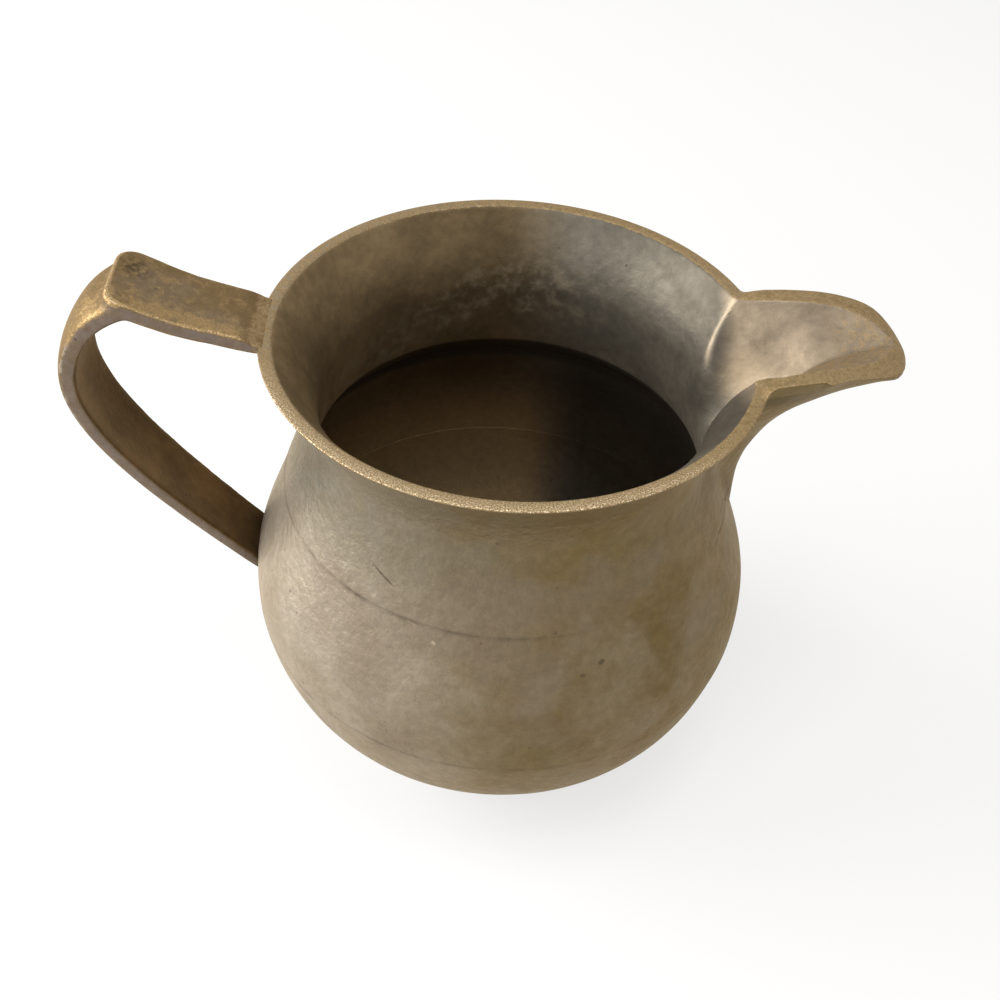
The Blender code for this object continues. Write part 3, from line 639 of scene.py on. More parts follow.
class Nodes:
    """Short calls for wiring a finish."""

    def __init__(self, name):
        self.material = bpy.data.materials.new(name)
        self.material.use_nodes = True
        self.tree = self.material.node_tree
        self.where = self.add("TexCoord", {}).outputs["Object"]

    def add(self, kind, inputs, **settings):
        return wired(self.tree, kind, inputs, **settings)

    def attribute(self, name):
        return self.add("Attribute", {}, attribute_name=name).outputs["Fac"]

    def noise(self, scale, detail=3.0, rough=0.5, warp=0.0):
        inputs = {"Vector": self.where, "Scale": scale, "Detail": detail, "Roughness": rough, "Distortion": warp}
        return self.add("TexNoise", inputs).outputs["Fac"]

    def ramp(self, value, low, high, to_low=0.0, to_high=1.0):
        inputs = {"Value": value, "From Min": low, "From Max": high, "To Min": to_low, "To Max": to_high}
        return self.add("MapRange", inputs, interpolation_type="SMOOTHSTEP").outputs["Result"]

    def math(self, operation, a, b, clamp=False):
        return self.add("Math", {0: a, 1: b}, operation=operation, use_clamp=clamp).outputs[0]

    def product(self, value, *more):
        for factor in more:
            value = self.math("MULTIPLY", value, factor)
        return value

    def mix(self, share, a, b, blend="MIX"):
        return self.add("Mix", {"Factor": share, "A": a, "B": b}, data_type="RGBA", blend_type=blend).outputs["Result"]

    def over(self, skin, tint, *shares):
        """A colour laid over another by the product of some shares."""
        return self.mix(self.product(*shares), skin, tint)

    def times(self, skin, tone):
        """A colour made darker or lighter all over by a number."""
        return self.mix(1.0, skin, tone, "MULTIPLY")

    def spot(self, place, along, size, edge):
        """1 in the middle of a mark of that size in millimetres, long in one direction, and 0 outside it."""
        turn = Vector(along).to_track_quat("X", "Z").to_euler()
        inputs = {"Vector": self.where, "Location": Vector(place) * MM, "Rotation": turn, "Scale": Vector(size) * MM}
        near = self.add("Mapping", inputs, vector_type="TEXTURE")
        ball = self.add("TexGradient", {"Vector": near.outputs["Vector"]}, gradient_type="SPHERICAL")
        return self.ramp(ball.outputs["Fac"], 0.0, edge)

    def bump(self, height, strength, depth, **under):
        return self.add("Bump", {"Height": height, "Strength": strength, "Distance": depth, **under}).outputs["Normal"]


def colour(value, factor=1.0):
    return (value[0] * factor, value[1] * factor, value[2] * factor, 1.0)


def inner_wall(n, finish, out, up):
    """The pitcher's inside: olive brown, greyer towards the spout, and with pale blotches in the neck."""
    trough = finish.trough
    # Painted shade: darker across the middle of the inside, then greyer towards the spout.
    wall = n.over(colour(finish.inner), colour(finish.inner, 0.58), n.ramp(out, -0.040, -0.006))
    wall = n.over(wall, colour(finish.inner_grey), n.ramp(out, -0.004, 0.020))
    # Painted highlight: the trough is much lighter where it leaves the neck, then darker again towards the tip.
    wall = n.over(wall, colour(trough, 1.8), n.ramp(out, 0.0465, 0.0515), n.ramp(up, 0.099, 0.110))
    wall = n.over(wall, colour(trough, 1.12), n.ramp(out, 0.0505, 0.058))
    wall = n.over(wall, colour(trough, 0.86), n.ramp(out, 0.058, 0.069))
    wall = n.times(wall, n.ramp(n.noise(60.0, 3.0, 0.6), 0.35, 0.68, 0.85, 1.2))
    # Painted light: the wall is made up to 1.4 times lighter low in the neck, where the lip shades it.
    wall = n.times(wall, n.ramp(up, 0.088, 0.108, 1.4, 1.0))
    level = n.math("SUBTRACT", up, n.product(n.math("MINIMUM", out, -0.003), 0.4))
    band = n.product(n.ramp(level, 0.091, 0.100), n.ramp(level, 0.105, 0.113, 1.0, 0.0),
                     n.ramp(out, 0.012, 0.03, 1.0, 0.0))
    blotches = n.ramp(n.noise(290.0, 3.0, 0.55, 0.2), 0.42, 0.68)
    wall = n.over(wall, colour(finish.bloom), blotches, band, 0.5)
    # Painted light: a glow below the neck, strongest low in the bowl and on the handle's side.
    lit = n.ramp(up, 0.040, 0.078, 1.0, 0.0)
    wall = n.over(wall, colour(finish.inner, 1.8), lit, n.ramp(out, 0.004, 0.024, 1.0, 0.03))
    # Painted shade: darker below the neck on the spout's side.
    dim = n.ramp(up, 0.080, 0.084, 1.0, 0.0)
    return n.over(wall, colour(finish.grime, 0.6), dim, n.ramp(out, 0.006, 0.026), 0.7)


def aged_pewter(name, finish, flaws_and_sheen=(), handle=False):
    """Dull old pewter: patina in soft patches that browns towards the right as painted shade, brassy where
    hands rub it, with painted highlights on the front and on edges facing the light, and dark in corners and
    inside, with dirt in the seams and painted shade elsewhere.

    The handle has a brown of its own, a painted reflection on its side faces, and a deeper brown painted as
    shade on its strap's inner face, where the body has the pitcher's inside.
    """
    n = Nodes(name)
    worn, grime, inside, crest = (n.attribute(key) for key in MARKS)
    out, _, up = n.add("SeparateXYZ", {0: n.where}).outputs
    clean, old = (finish.arm, finish.arm) if handle else (finish.bare, finish.patina)
    patches = n.ramp(n.noise(62.0, 3.0, 0.55, 0.6), 0.33, 0.67)
    mottle = n.ramp(n.noise(230.0, 5.0, 0.62, 0.5), 0.3, 0.7)
    peel = n.noise(480.0, 4.0, 0.6)
    # Besides its patches, the patina grows along X towards the right. This is partly the old skin and partly painted
    # shade on the side away from the key lamp. The olive patches keep to that side too.
    side = n.ramp(out, -0.05, 0.016)
    age_and_shade = n.math("ADD", n.product(side, 0.74), n.product(patches, 0.2))
    age_and_shade = n.math("ADD", age_and_shade, n.product(mottle, 0.07), clamp=True)
    clean, aged = colour(clean), colour(old)
    if not handle:
        # Painted shade: on the neck's outside, which flares and faces down, the clean metal turns a darker, cooler
        # grey. Its patina is a little lighter there.
        clean = n.over(clean, colour(finish.shaded_grey), n.ramp(up, 0.078, 0.094))
        aged = n.over(aged, colour(old, 1.16), n.ramp(up, 0.074, 0.092))
    skin = n.over(clean, aged, age_and_shade)
    skin = n.over(skin, colour(finish.mauve), n.ramp(n.noise(48.0, 2.0), 0.46, 0.62), 0.36)
    skin = n.over(skin, colour(finish.olive), n.ramp(n.noise(34.0, 2.0), 0.46, 0.64), side, 0.32)
    if handle:
        # Painted shade: the strap's inner face, towards the body, is a deeper brown.
        wall = n.times(colour(finish.strap_shade), n.ramp(n.noise(70.0, 3.0, 0.6), 0.35, 0.68, 0.8, 1.3))
        # Painted reflection: a purplish grey on the handle's side faces towards -Y.
        skin = n.over(skin, colour(finish.flank), n.attribute("flank"), n.ramp(mottle, 0.0, 1.0, 0.45, 0.85))
    else:
        wall = inner_wall(n, finish, out, up)
    skin = n.over(skin, wall, inside)
    skin = n.times(skin, n.ramp(peel, 0.3, 0.7, 0.92, 1.08))
    skin = n.times(skin, n.ramp(n.noise(2300.0, 2.0, 0.6), 0.2, 0.8, 0.94, 1.06))

    # Brassy rub where the wear mark stands. This is real wear, raised into painted highlights on the front and on
    # edges facing the light.
    patchy = n.ramp(n.noise(330.0 if handle else 750.0, 5.0, 0.7, 0.4), 0.3, 0.66, 1.5, 0.0)
    rub_and_sheen = n.product(n.math("SUBTRACT", n.product(worn, 2.2), patchy, clamp=True), 0.9)
    brass = colour(finish.worn)
    if handle:
        brass = n.over(colour(finish.bare, 0.85), colour(finish.gold), n.ramp(up, 0.1180, 0.1205))
        brass = n.over(brass, colour(finish.worn), n.ramp(out, -0.0595, -0.0560))
    skin = n.over(skin, brass, rub_and_sheen)
    # Painted highlight: bright polish is laid in scuffs where the wear mark rises above 0.8, as on the front of the
    # rim, and a little over every rub.
    scuffs = n.ramp(n.noise(3200.0, 3.0, 0.7), 0.46, 0.64)
    bright = n.math("ADD", n.math("SUBTRACT", worn, 0.8, clamp=True), n.product(rub_and_sheen, 0.22))
    bright = n.math("MULTIPLY", bright, scuffs, clamp=True)
    skin = n.over(skin, colour(finish.polish_and_highlight), bright)
    nicks = n.product(n.ramp(n.noise(2100.0, 3.0, 0.65), 0.34, 0.46, 1.0, 0.0), rub_and_sheen)
    skin = n.over(skin, colour(old, 0.55), nicks, 0.5)
    # Painted highlight along the ridge where the trough leaves the neck.
    skin = n.over(skin, colour(finish.trough, 1.6), crest, 0.5)
    bright = n.math("MAXIMUM", bright, n.product(crest, 0.4))

    # Old damage, dark or bright, and the spout's painted highlight.
    for *shape, strength in flaws_and_sheen:
        tint = finish.grime if strength > 0.0 else finish.polish_and_highlight
        skin = n.over(skin, colour(tint), n.spot(*shape), abs(strength))
    pits = n.add("TexVoronoi", {"Vector": n.where, "Scale": 230.0}).outputs["Distance"]
    pitted = n.product(n.ramp(pits, 0.05, 0.12, 1.0, 0.0), n.ramp(n.noise(80.0, 2.0), 0.56, 0.64))
    skin = n.over(skin, colour(finish.grime), pitted, 0.5)
    # Seam dirt, and painted shade where the marks call for it.
    skin = n.over(skin, colour(finish.grime), grime)

    rough = n.math("ADD", n.product(mottle, 0.06), finish.roughness - 0.03)
    rough = n.math("ADD", rough, n.product(inside, 0.05))
    rough = n.math("SUBTRACT", rough, n.product(bright, 0.14))
    rough = n.math("ADD", rough, n.product(grime, 0.25))
    waves = n.bump(n.noise(150.0, 2.0), 0.3, 0.0006)
    peeled = n.bump(peel, n.ramp(inside, 0.0, 1.0, 0.85, 0.22), 0.0005, Normal=waves)
    relief = n.math("ADD", n.product(n.noise(1100.0, 3.0, 0.6), 0.6), n.product(pitted, -1.0))
    relief = n.bump(n.math("SUBTRACT", relief, nicks), 0.4, 0.00016, Normal=peeled)
    surface = {
        "Base Color": skin, "Metallic": finish.metallic, "Specular IOR Level": finish.specular,
        "Specular Tint": colour(finish.glint), "Roughness": rough, "Normal": relief,
    }
    for key, value in surface.items():
        feed(n.tree, n.tree.nodes["Principled BSDF"].inputs[key], value)
    return n.material


# ---------------------------------------------------------------- settings


def number(name, description, default, **more):
    """A setting that is a number, with its unit or limits."""
    return FloatProperty(name=name, description=description, default=default, **more)


def tint(name, description, *default):
    """A setting that is a colour."""
    return FloatVectorProperty(name=name, description=description, default=default, subtype="COLOR")


class PitcherBody(bpy.types.PropertyGroup):
    columns: IntProperty(name="Columns", description="Columns round the neck's skin", default=340, min=120)
    spout_columns: IntProperty(name="Spout columns", description="Columns on each half of the spout", default=54,
                               min=20)
    edge_round: number("Edge round", "Rounding of the rim and lip edges", 0.0011, unit="LENGTH")
    foot_fillet: number("Foot fillet", "Solder fillet where the spout meets the neck", 0.0013, unit="LENGTH")
    dents: number("Dents", "How uneven the hand-finished walls are", 1.0, min=0.0)
    wall: number("Wall", "Thickness of the walls below the neck", 0.003, unit="LENGTH")


class PitcherHandle(bpy.types.PropertyGroup):
    arm_width: number("Arm width", "Width of the handle's arm at the rim", 0.0188, unit="LENGTH")
    arm_thickness: number("Arm thickness", "Thickness of the arm", 0.0038, unit="LENGTH")
    thumb_corner: number("Thumb corner", "Radius of the thumb rest's corners", 0.0045, unit="LENGTH")
    strap_thickness: number("Strap thickness", "Thickness of the strap at the top", 0.0043, unit="LENGTH")
    crown: number("Crown", "How far the strap's outer face is domed", 0.0013, unit="LENGTH")
    grain: number("Grain", "Size of the cells the casting is blended with", 0.00031, unit="LENGTH")


class PitcherFinish(bpy.types.PropertyGroup):
    # bare and patina are also blended along the body's side, so the browner right is partly painted shade.
    bare: tint("Bare metal", "Warm grey of the cleaner pewter", 0.38, 0.33, 0.265)
    # A painted shade for the clean side of the neck's outside.
    shaded_grey: tint("Cool grey", "Grey of the neck's outside", 0.235, 0.22, 0.18)
    patina: tint("Patina", "Brown of the older skin", 0.153, 0.105, 0.041)
    mauve: tint("Mauve", "Purplish grey patches", 0.21, 0.165, 0.125)
    olive: tint("Olive", "Olive patches on the spout's side", 0.17, 0.135, 0.062)
    arm: tint("Handle", "Brown of the handle", 0.160, 0.106, 0.048)
    # A painted shade for the strap's inner face.
    strap_shade: tint("Deep brown", "Inner face of the strap", 0.115, 0.068, 0.028)
    # Brassy tan of metal that hands rub, laid also where highlights are painted.
    worn: tint("Worn", "Brassy tan where the metal is rubbed", 0.262, 0.18, 0.086)
    gold: tint("Thumb rest", "Golden rub on top of the handle", 0.29, 0.19, 0.08)
    # Colour of bright scuffs and of the painted highlights.
    polish_and_highlight: tint("Polished", "Bright scuffs on rubbed edges", 0.66, 0.53, 0.36)
    inner: tint("Inside", "Olive brown skin inside the pitcher", 0.185, 0.13, 0.068)
    inner_grey: tint("Inside grey", "Greyer skin inside, by the spout", 0.118, 0.106, 0.085)
    bloom: tint("Bloom", "Pale blotches inside the neck", 0.34, 0.29, 0.2)
    trough: tint("Trough", "Skin inside the spout", 0.25, 0.20, 0.142)
    # Dirt in seams, and the painted shade in corners, creases and inside.
    grime: tint("Grime", "Dirt in corners and seams", 0.035, 0.027, 0.02)
    roughness: number("Roughness", "Dullness of the pewter", 0.46, min=0.0, max=1.0)
    metallic: number("Metallic", "How metallic the skin is", 0.6, min=0.0, max=1.0)
    glint: tint("Glint", "Tint of what the metal mirrors at its edges", 0.95, 0.78, 0.55)
    # A painted reflection on the handle's side faces.
    flank: tint("Flank", "Purplish grey of the handle's side faces", 0.215, 0.17, 0.145)
    specular: number("Specular", "Shine of the patina over the metal", 0.2, min=0.0, max=1.0)


class PitcherStudio(bpy.types.PropertyGroup):
    lens: number("Lens", "Focal length of the camera in millimetres", 46.8)
    key: number("Key light", "Power of the large lamp on the left", 11.5, unit="POWER")
    fill: number("Fill light", "Power of the soft lamp in front", 1.3, unit="POWER")
    overhead: number("Overhead light", "Power of the soft lamp above", 1.6, unit="POWER")
    sky: number("Sky", "Strength of the even studio light", 0.52)
    backdrop: number("Backdrop", "How far the floor and the sky are seen as plain white", 0.7, min=0.0, max=1.0)
    floor: tint("Floor", "Colour of the floor", 0.9, 0.9, 0.9)


SETTINGS = {"pitcher_body": PitcherBody, "pitcher_handle": PitcherHandle, "pitcher_finish": PitcherFinish,
            "pitcher_studio": PitcherStudio}


# ---------------------------------------------------------------- pieces


class PITCHER_OT_neck_and_spout(bpy.types.Operator):
    """Neck with its rim, and the beak spout soldered into it, as one skin"""

    bl_idname = "pitcher.neck_and_spout"
    bl_label = "Neck and spout"

    def execute(self, context):
        sizes = context.scene.pitcher_body
        far = neck_columns(sizes, LIP_FAR_EDGE, FAR_CREASE)
        near = neck_columns(sizes, LIP_NEAR_EDGE, NEAR_CREASE) * (1.0, -1.0, 1.0)
        columns = np.concatenate([far, near[-2:0:-1]])
        columns[0] = 0.5 * (far[0] + near[0])
        for shape in (soften_throat, soften_foot, file_corners, knock_lip):
            shape(columns)
        count = len(columns)
        bm = turned([(-x, up) for x, _, up in far[-1]], count)
        row = bm.verts.layers.int["row"]
        seen = set()
        for v in bm.verts:
            k = round(math.atan2(v.co.y, v.co.x) % math.tau / math.tau * count) % count
            seen.add((k, v[row]))
            x, y, up = columns[k][v[row]]
            v.co = Vector((x * MM, y * MM, up * MM + HEIGHT))
        if not len(seen) == len(bm.verts) == count * len(ROW_KINDS):
            raise RuntimeError(f"the neck has {len(bm.verts)} points and not {count * len(ROW_KINDS)}")
        metal = aged_pewter("neck pewter", context.scene.pitcher_finish, BODY_FLAWS + (SPOUT_SHEEN,))
        mark_neck(new_piece("neck_with_spout", bm, ("neck", "spout", "spout_solder"), metal))
        return {"FINISHED"}


class PITCHER_OT_shoulder(bpy.types.Operator):
    """Middle casting of the body, between its two seams"""

    bl_idname = "pitcher.shoulder"
    bl_label = "Shoulder"

    def execute(self, context):
        sizes = context.scene.pitcher_body
        depth = np.linspace(SHOULDER_SEAM + SEAM_GAP, GIRTH_SEAM - SEAM_GAP, 60)
        outer = face(BODY_OUTLINE, depth)
        inner = face(BODY_OUTLINE, depth[::-1], sizes.wall / MM)
        bm = turned(walled([outer, [outer[-1], inner[0]], inner, [inner[-1], outer[0]]]))
        metal = aged_pewter("shoulder pewter", context.scene.pitcher_finish, BODY_FLAWS)
        mesh = new_piece("shoulder_skin", bm, ("shoulder",), metal)
        finish_wall(mesh, sizes.dents, 3)
        return {"FINISHED"}


class PITCHER_OT_bowl(bpy.types.Operator):
    """Lower casting with the closed floor"""

    bl_idname = "pitcher.bowl"
    bl_label = "Bowl"

    def execute(self, context):
        sizes = context.scene.pitcher_body
        top, low, high = GIRTH_SEAM + SEAM_GAP, -BASE_DEPTH, FLOOR_THICKNESS - BASE_DEPTH
        outer = face(BODY_OUTLINE, np.linspace(top, BASE_DEPTH - 1.2, 50))
        inner = face(BODY_OUTLINE, np.linspace(BASE_DEPTH - 6.0, top, 34), sizes.wall / MM)
        foot = [(outer[-1, 0] - 1.5, low), (20.0, low), (8.0, low), (FLOOR_BORE, low)]
        floor = [(FLOOR_BORE, high), (8.0, high), (18.0, high), (inner[0, 0] - 3.6, high)]
        profile = walled([np.vstack([floor, inner]), [inner[-1], outer[0]], np.vstack([outer, foot])])
        bm = turned(profile)

        def ring(radius, bottom, top):
            """Edges at a radius and between two heights, in millimetres."""
            return [e for e in bm.edges if all(abs(v.co.xy.length - radius * MM) < 1e-6
                                               and bottom * MM < v.co.z < top * MM for v in e.verts)]

        rings = ring(profile[-1][0], -1.0, 0.5), ring(profile[0][0], 3.0, 4.0)
        bore = [f for f in bm.faces if all(v.co.xy.length < (FLOOR_BORE + 0.1) * MM for v in f.verts)]
        bmesh.ops.delete(bm, geom=bore, context="FACES_ONLY")
        for edges in rings:
            bmesh.ops.holes_fill(bm, edges=[e for e in edges if e.is_valid], sides=0)
        metal = aged_pewter("bowl pewter", context.scene.pitcher_finish)
        finish_wall(new_piece("bowl_skin", bm, ("bowl",), metal), sizes.dents, 5)
        return {"FINISHED"}


class PITCHER_OT_solder_beads(bpy.types.Operator):
    """Solder runs inside the two body seams"""

    bl_idname = "pitcher.solder_beads"
    bl_label = "Solder beads"

    def execute(self, context):
        inset = context.scene.pitcher_body.wall / MM - 0.08
        metal = aged_pewter("solder", context.scene.pitcher_finish)
        # Inside, each bead takes the painted shade of the wall round it: dark under the neck, almost none at the
        # girth. Outside it has seam dirt.
        for name, node, seam, darkening in (("shoulder_bead", "shoulder_solder", SHOULDER_SEAM, 0.9),
                                       ("girth_bead", "girth_solder", GIRTH_SEAM, 0.02)):
            outer = at(BODY_OUTLINE, seam) - 0.02
            ring = [(outer - 0.1, -seam - 0.25), (outer, -seam - 0.1), (outer, -seam + 0.1),
                    (outer - 0.1, -seam + 0.25)]
            bm = turned([*ring, *face(BODY_OUTLINE, np.linspace(seam - 0.2, seam + 0.2, 5), inset)])
            mesh = new_piece(name, bm, (node,), metal)
            skin = polar(places_of(mesh))[1] > outer - 0.5
            mark(mesh, "inside", ~skin)
            mark(mesh, "grime", np.where(skin, 0.6 * seam_dirt(mesh, np.ones(len(skin))), darkening))
        return {"FINISHED"}


def strip(path, half_widths, thickness, crown, across=14):
    """A strip of metal along a path of (out, up), as a closed bmesh in metres."""
    last = len(path) - 1
    thickness, crown = thickness * np.ones(len(path)), crown * np.ones(len(path))
    along = np.gradient(path, axis=0)
    along /= np.linalg.norm(along, axis=1)[:, None]
    square = np.stack([along[:, 1], -along[:, 0]], axis=1)
    bm = bmesh.new()
    bmesh.ops.create_grid(bm, x_segments=last, y_segments=across, size=0.5)
    raised = bmesh.ops.extrude_face_region(bm, geom=list(bm.faces))
    top = {g for g in raised["geom"] if isinstance(g, bmesh.types.BMVert)}
    for v in bm.verts:
        i, side = round((v.co.x + 0.5) * last), v.co.y * 2.0
        side = math.copysign(1.0 - (1.0 - abs(side)) ** 1.7, side)
        full = max(0.7, (1.0 - abs(side) ** 9) ** (1 / 9))
        lift = thickness[i] / 2 * (full if v in top else -full) + crown[i] * (1.0 - side * side)
        out, up = path[i] + square[i] * lift
        v.co = Vector((out * MM, half_widths[i] * side * MM, up * MM + HEIGHT))
    bmesh.ops.recalc_face_normals(bm, faces=bm.faces)
    return bm


def bulge_of(bm):
    """How far each vertex stands out of its neighbours, per millimetre, evened out a little."""
    bm.verts.index_update()
    bm.normal_update()
    place = np.array([v.co for v in bm.verts]) / MM
    normal = np.array([v.normal for v in bm.verts])
    pairs = np.array([[v.index for v in e.verts] for e in bm.edges])
    here, there = np.vstack([pairs, pairs[:, ::-1]]).T
    step = place[there] - place[here]
    bulge = -(normal[here] * step).sum(axis=1) / np.maximum((step**2).sum(axis=1), 1e-6)
    number = np.maximum(np.bincount(here, minlength=len(place)), 1)
    bulge = np.bincount(here, bulge, minlength=len(place)) / number
    for _ in range(4):
        bulge = np.bincount(here, bulge[there], minlength=len(place)) / number
    return bulge


def blended(parts, cell):
    """Some closed bmeshes as one casting, with the joints between them flowed together."""
    mesh = bpy.data.meshes.new("handle_rough")
    whole = bmesh.new()
    for part in parts:
        part.to_mesh(mesh)
        part.free()
        whole.from_mesh(mesh)
    whole.to_mesh(mesh)
    whole.free()
    rough = bpy.data.objects.new("handle_rough", mesh)
    bpy.context.scene.collection.objects.link(rough)
    remesh = rough.modifiers.new("one casting", "REMESH")
    remesh.mode = "VOXEL"
    remesh.voxel_size = cell
    bpy.context.view_layer.update()
    cast = bpy.data.meshes.new_from_object(rough.evaluated_get(bpy.context.evaluated_depsgraph_get()))
    bpy.data.objects.remove(rough)
    bm = bmesh.new()
    bm.from_mesh(cast)
    smooth = {"factor": 0.5, "use_axis_x": True, "use_axis_y": True, "use_axis_z": True}
    for _ in range(26):
        bmesh.ops.smooth_vert(bm, verts=bm.verts, **smooth)
    bm.verts.ensure_lookup_table()
    for _ in range(4):
        hollow = [bm.verts[i] for i in np.where(bulge_of(bm) < -0.03)[0]
                  if bm.verts[i].co.x < -0.070 and bm.verts[i].co.z > 0.100]
        for _ in range(12):
            bmesh.ops.smooth_vert(bm, verts=hollow, **smooth)
    bmesh.ops.recalc_face_normals(bm, faces=bm.faces)
    return bm


def mark_handle(mesh, edges):
    """Mark the wear on the handle's edges and thumb rest, with painted highlights on the front and on edges
    facing the light; painted shade on its inner face; a painted reflection on its side faces; a stain on its
    arm; and a darkening towards the strap's foot.
    """
    points, normals = places_of(mesh), vectors_of(mesh, "normal")
    out, across, up = points.T
    facing_up = ease((normals[:, 2] - 0.6) / 0.3) * ease((up - 1.0) / 2.0)
    # Painted highlight: the rub grows towards the front, on the -Y side, and on edges that face away from the body or
    # up, towards the key lamp.
    front = ease((-across - 1.0) / 7.0)
    lit_side = np.maximum(ease((0.2 - normals[:, 0]) / 0.3), facing_up)
    lower = ease((-up + 2.0) / 10.0) * ease((out + 96.0) / 3.0)
    under = ease((normals[:, 0] - 0.25) / 0.3) * ease((0.6 - abs(normals[:, 1])) / 0.2)
    by_rim = ease((59.5 - np.hypot(out, across)) / 4.0) * ease((normals[:, 2] - 0.4) / 0.3)
    rub_and_sheen = edges * lit_side * (1.0 - 0.5 * lower) + facing_up * (0.26 + 0.42 * front)
    stain = np.exp(-((out + 81.6) / 3.2) ** 2 - ((across - 3.6) / 3.4) ** 2)
    stain *= facing_up * ease(lumps(points, 0.9, 11) * 0.8 + 0.5)
    mark(mesh, "worn", np.clip(np.maximum(rub_and_sheen, 0.72 * by_rim), 0.0, 1.2))
    # Painted shade on the faces of the strap turned towards the body.
    mark(mesh, "inside", under * (1.0 - facing_up) * ease((4.0 - up) / 6.0))
    # Painted reflection on the side faces towards -Y.
    mark(mesh, "flank", ease((-normals[:, 1] - 0.75) / 0.2))
    # Darker towards the strap's foot, and a stain on the arm's top.
    mark(mesh, "grime", np.maximum(0.35 * ease((-up - 56.0) / 12.0), 0.75 * stain))


class PITCHER_OT_handle(bpy.types.Operator):
    """Handle casting: arm, thumb rest and strap"""

    bl_idname = "pitcher.handle"
    bl_label = "Handle"

    def execute(self, context):
        sizes = context.scene.pitcher_handle
        turn = np.radians(np.linspace(0.0, 84.0, 22))[1:]
        corner = sizes.thumb_corner / MM
        tip = ARM_LINE[0][0]
        places = np.concatenate([np.linspace(ARM_START, tip + corner, 80), tip + corner * (1.0 - np.sin(turn))])
        cut = np.concatenate([np.zeros(80), corner * (1.0 - np.cos(turn))])
        half = sizes.arm_width / MM / 2 * (1.0 + 0.11 * ease((-places - 58.0) / 26.0)) - cut
        arm = strip(np.stack([places, through(ARM_LINE, places)], axis=1), half, sizes.arm_thickness / MM, 0.0)
        for v in arm.verts:
            fade = float(ease((v.co.xy.length / MM - 53.2) / 8.5))
            if v.co.x > -0.062:
                v.co.z = min(v.co.z, HEIGHT + (3.2 * fade - 0.05) * MM)
        route = np.vstack([bezier(STRAP_UPPER, 30), bezier(STRAP_LOWER, 50)[1:], [STRAP_END]])
        share = lengths(route) / lengths(route)[-1]
        half = (STRAP_TOP_WIDTH + (STRAP_FOOT_WIDTH - STRAP_TOP_WIDTH) * share**1.5) / 2
        thickness = sizes.strap_thickness / MM * (1.0 - 0.21 * share)
        strap = strip(route, half, thickness, sizes.crown / MM * ease((share - 0.05) / 0.08))
        bm = blended((arm, strap), sizes.grain)
        edges = ease((bulge_of(bm) - 0.07) / 0.18)
        metal = aged_pewter("handle pewter", context.scene.pitcher_finish, handle=True)
        nodes = ("handle", "arm_solder", "strap_solder")
        mark_handle(new_piece("handle_casting", bm, nodes, metal), edges)
        return {"FINISHED"}


# ---------------------------------------------------------------- studio


def lamp(name, place, size, power, tone):
    """A square soft lamp that faces the pitcher."""
    data = bpy.data.lights.new(name, "AREA")
    data.shape = "RECTANGLE"
    data.size, data.size_y = size
    data.energy = power
    data.color = tone
    thing = bpy.data.objects.new(name, data)
    thing.location = place
    thing.rotation_mode = "QUATERNION"
    thing.rotation_quaternion = (Vector(LAMP_TARGET) - Vector(place)).to_track_quat("-Z", "Y")
    bpy.context.scene.collection.objects.link(thing)


def seen_white(tree, shader, share):
    """Show a floor or sky to the camera and in reflections as plain white by a share, and light as before."""
    rays = wired(tree, "LightPath", {}).outputs
    seen = rays["Is Camera Ray"]
    for name in ("Is Glossy Ray", "Is Transmission Ray"):
        seen = wired(tree, "Math", {0: seen, 1: rays[name]}, operation="ADD", use_clamp=True).outputs[0]
    part = wired(tree, "Math", {0: seen, 1: share}, operation="MULTIPLY").outputs[0]
    white = wired(tree, "Emission", {"Strength": 1.0}).outputs[0]
    blend = wired(tree, "MixShader", {0: part, 1: shader, 2: white}).outputs[0]
    end = next(n for n in tree.nodes if n.type in ("OUTPUT_MATERIAL", "OUTPUT_WORLD"))
    tree.links.new(blend, end.inputs["Surface"])


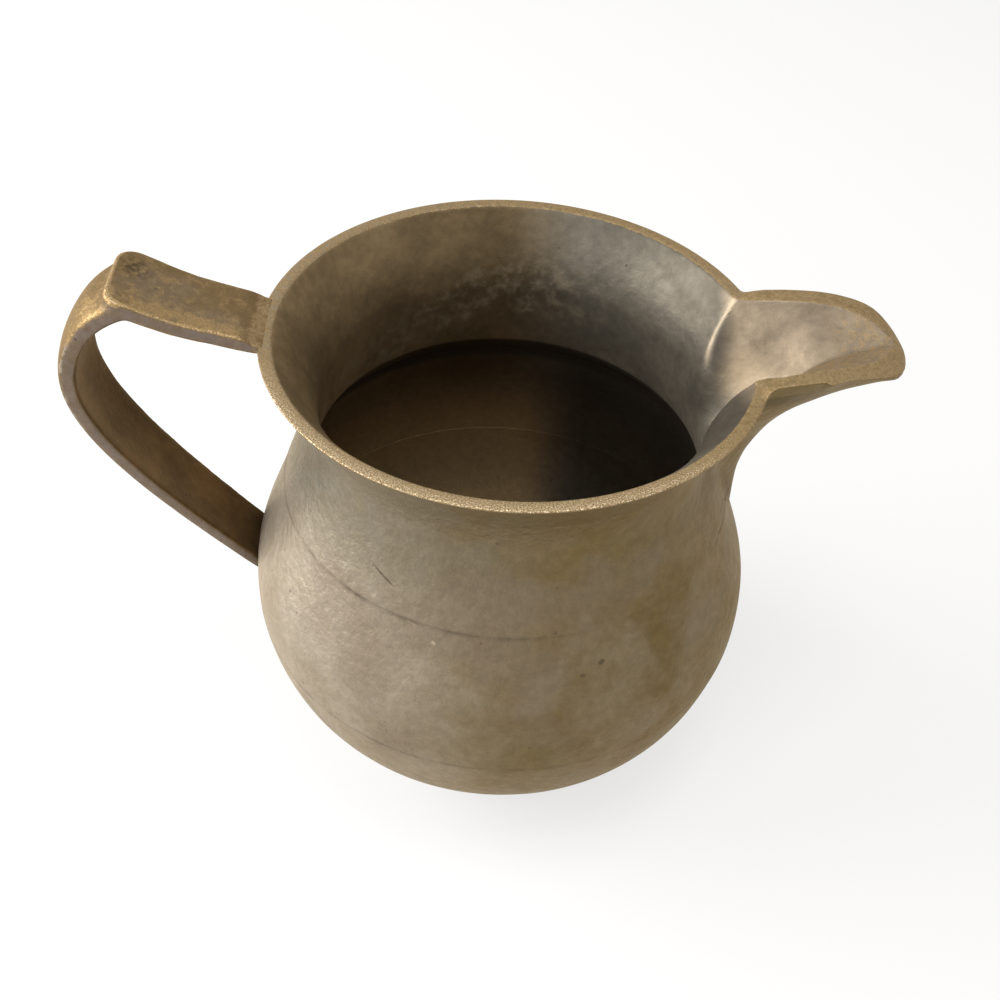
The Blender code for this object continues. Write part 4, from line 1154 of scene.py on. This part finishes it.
class PITCHER_OT_studio(bpy.types.Operator):
    """Pale floor, soft lamps, even sky and the camera"""

    bl_idname = "pitcher.studio"
    bl_label = "Studio"

    def execute(self, context):
        studio = context.scene.pitcher_studio
        bm = bmesh.new()
        bmesh.ops.create_grid(bm, x_segments=1, y_segments=1, size=FLOOR_SIZE)
        mesh = bpy.data.meshes.new("floor")
        bm.to_mesh(mesh)
        bm.free()
        floor = bpy.data.objects.new("floor", mesh)
        context.scene.collection.objects.link(floor)
        paint = bpy.data.materials.new("floor paint")
        paint.use_nodes = True
        shader = paint.node_tree.nodes["Principled BSDF"]
        shader.inputs["Base Color"].default_value = (*studio.floor, 1.0)
        shader.inputs["Roughness"].default_value = 0.9
        shader.inputs["Specular IOR Level"].default_value = 0.1
        seen_white(paint.node_tree, shader.outputs[0], studio.backdrop)
        mesh.materials.append(paint)

        world = bpy.data.worlds.new("studio sky")
        world.use_nodes = True
        sky = world.node_tree.nodes["Background"]
        sky.inputs["Color"].default_value = (1.0, 0.96, 0.9, 1.0)
        sky.inputs["Strength"].default_value = studio.sky
        seen_white(world.node_tree, sky.outputs[0], 1.0)
        context.scene.world = world
        for name, power, place, size, tone in LAMPS:
            lamp(name, place, size, getattr(studio, power), tone)

        eye = bpy.data.cameras.new("camera")
        eye.lens = studio.lens
        eye.sensor_width = 36.0
        eye.clip_start = 0.01
        camera = bpy.data.objects.new("camera", eye)
        turn = Matrix(CAMERA_AXES).transposed()
        camera.matrix_world = Matrix.Translation(CAMERA_PLACE) @ turn.to_4x4()
        context.scene.collection.objects.link(camera)
        context.scene.camera = camera
        context.scene.view_settings.view_transform = "Standard"
        return {"FINISHED"}


STEPS = (PITCHER_OT_neck_and_spout, PITCHER_OT_shoulder, PITCHER_OT_bowl, PITCHER_OT_solder_beads,
         PITCHER_OT_handle, PITCHER_OT_studio)


class PITCHER_PT_panel(bpy.types.Panel):
    """Lists the pitcher's pieces and its settings"""

    bl_idname = "PITCHER_PT_panel"
    bl_label = "Pewter pitcher"
    bl_space_type = "VIEW_3D"
    bl_region_type = "UI"
    bl_category = "Pitcher"

    def draw(self, context):
        for step in STEPS:
            self.layout.operator(step.bl_idname)
        for key in SETTINGS:
            settings = getattr(context.scene, key)
            box = self.layout.box()
            for name in settings.__annotations__:
                box.prop(settings, name)


def register():
    for kind in (*SETTINGS.values(), *STEPS, PITCHER_PT_panel):
        bpy.utils.register_class(kind)
    for key, kind in SETTINGS.items():
        setattr(bpy.types.Scene, key, PointerProperty(type=kind))


def unregister():
    for key in SETTINGS:
        delattr(bpy.types.Scene, key)
    for kind in (PITCHER_PT_panel, *reversed(STEPS), *reversed(SETTINGS.values())):
        bpy.utils.unregister_class(kind)


def main():
    """Register the pitcher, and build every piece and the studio."""
    register()
    bpy.ops.pitcher.neck_and_spout()
    bpy.ops.pitcher.shoulder()
    bpy.ops.pitcher.bowl()
    bpy.ops.pitcher.solder_beads()
    bpy.ops.pitcher.handle()
    bpy.ops.pitcher.studio()


if __name__ == "__main__":
    main()
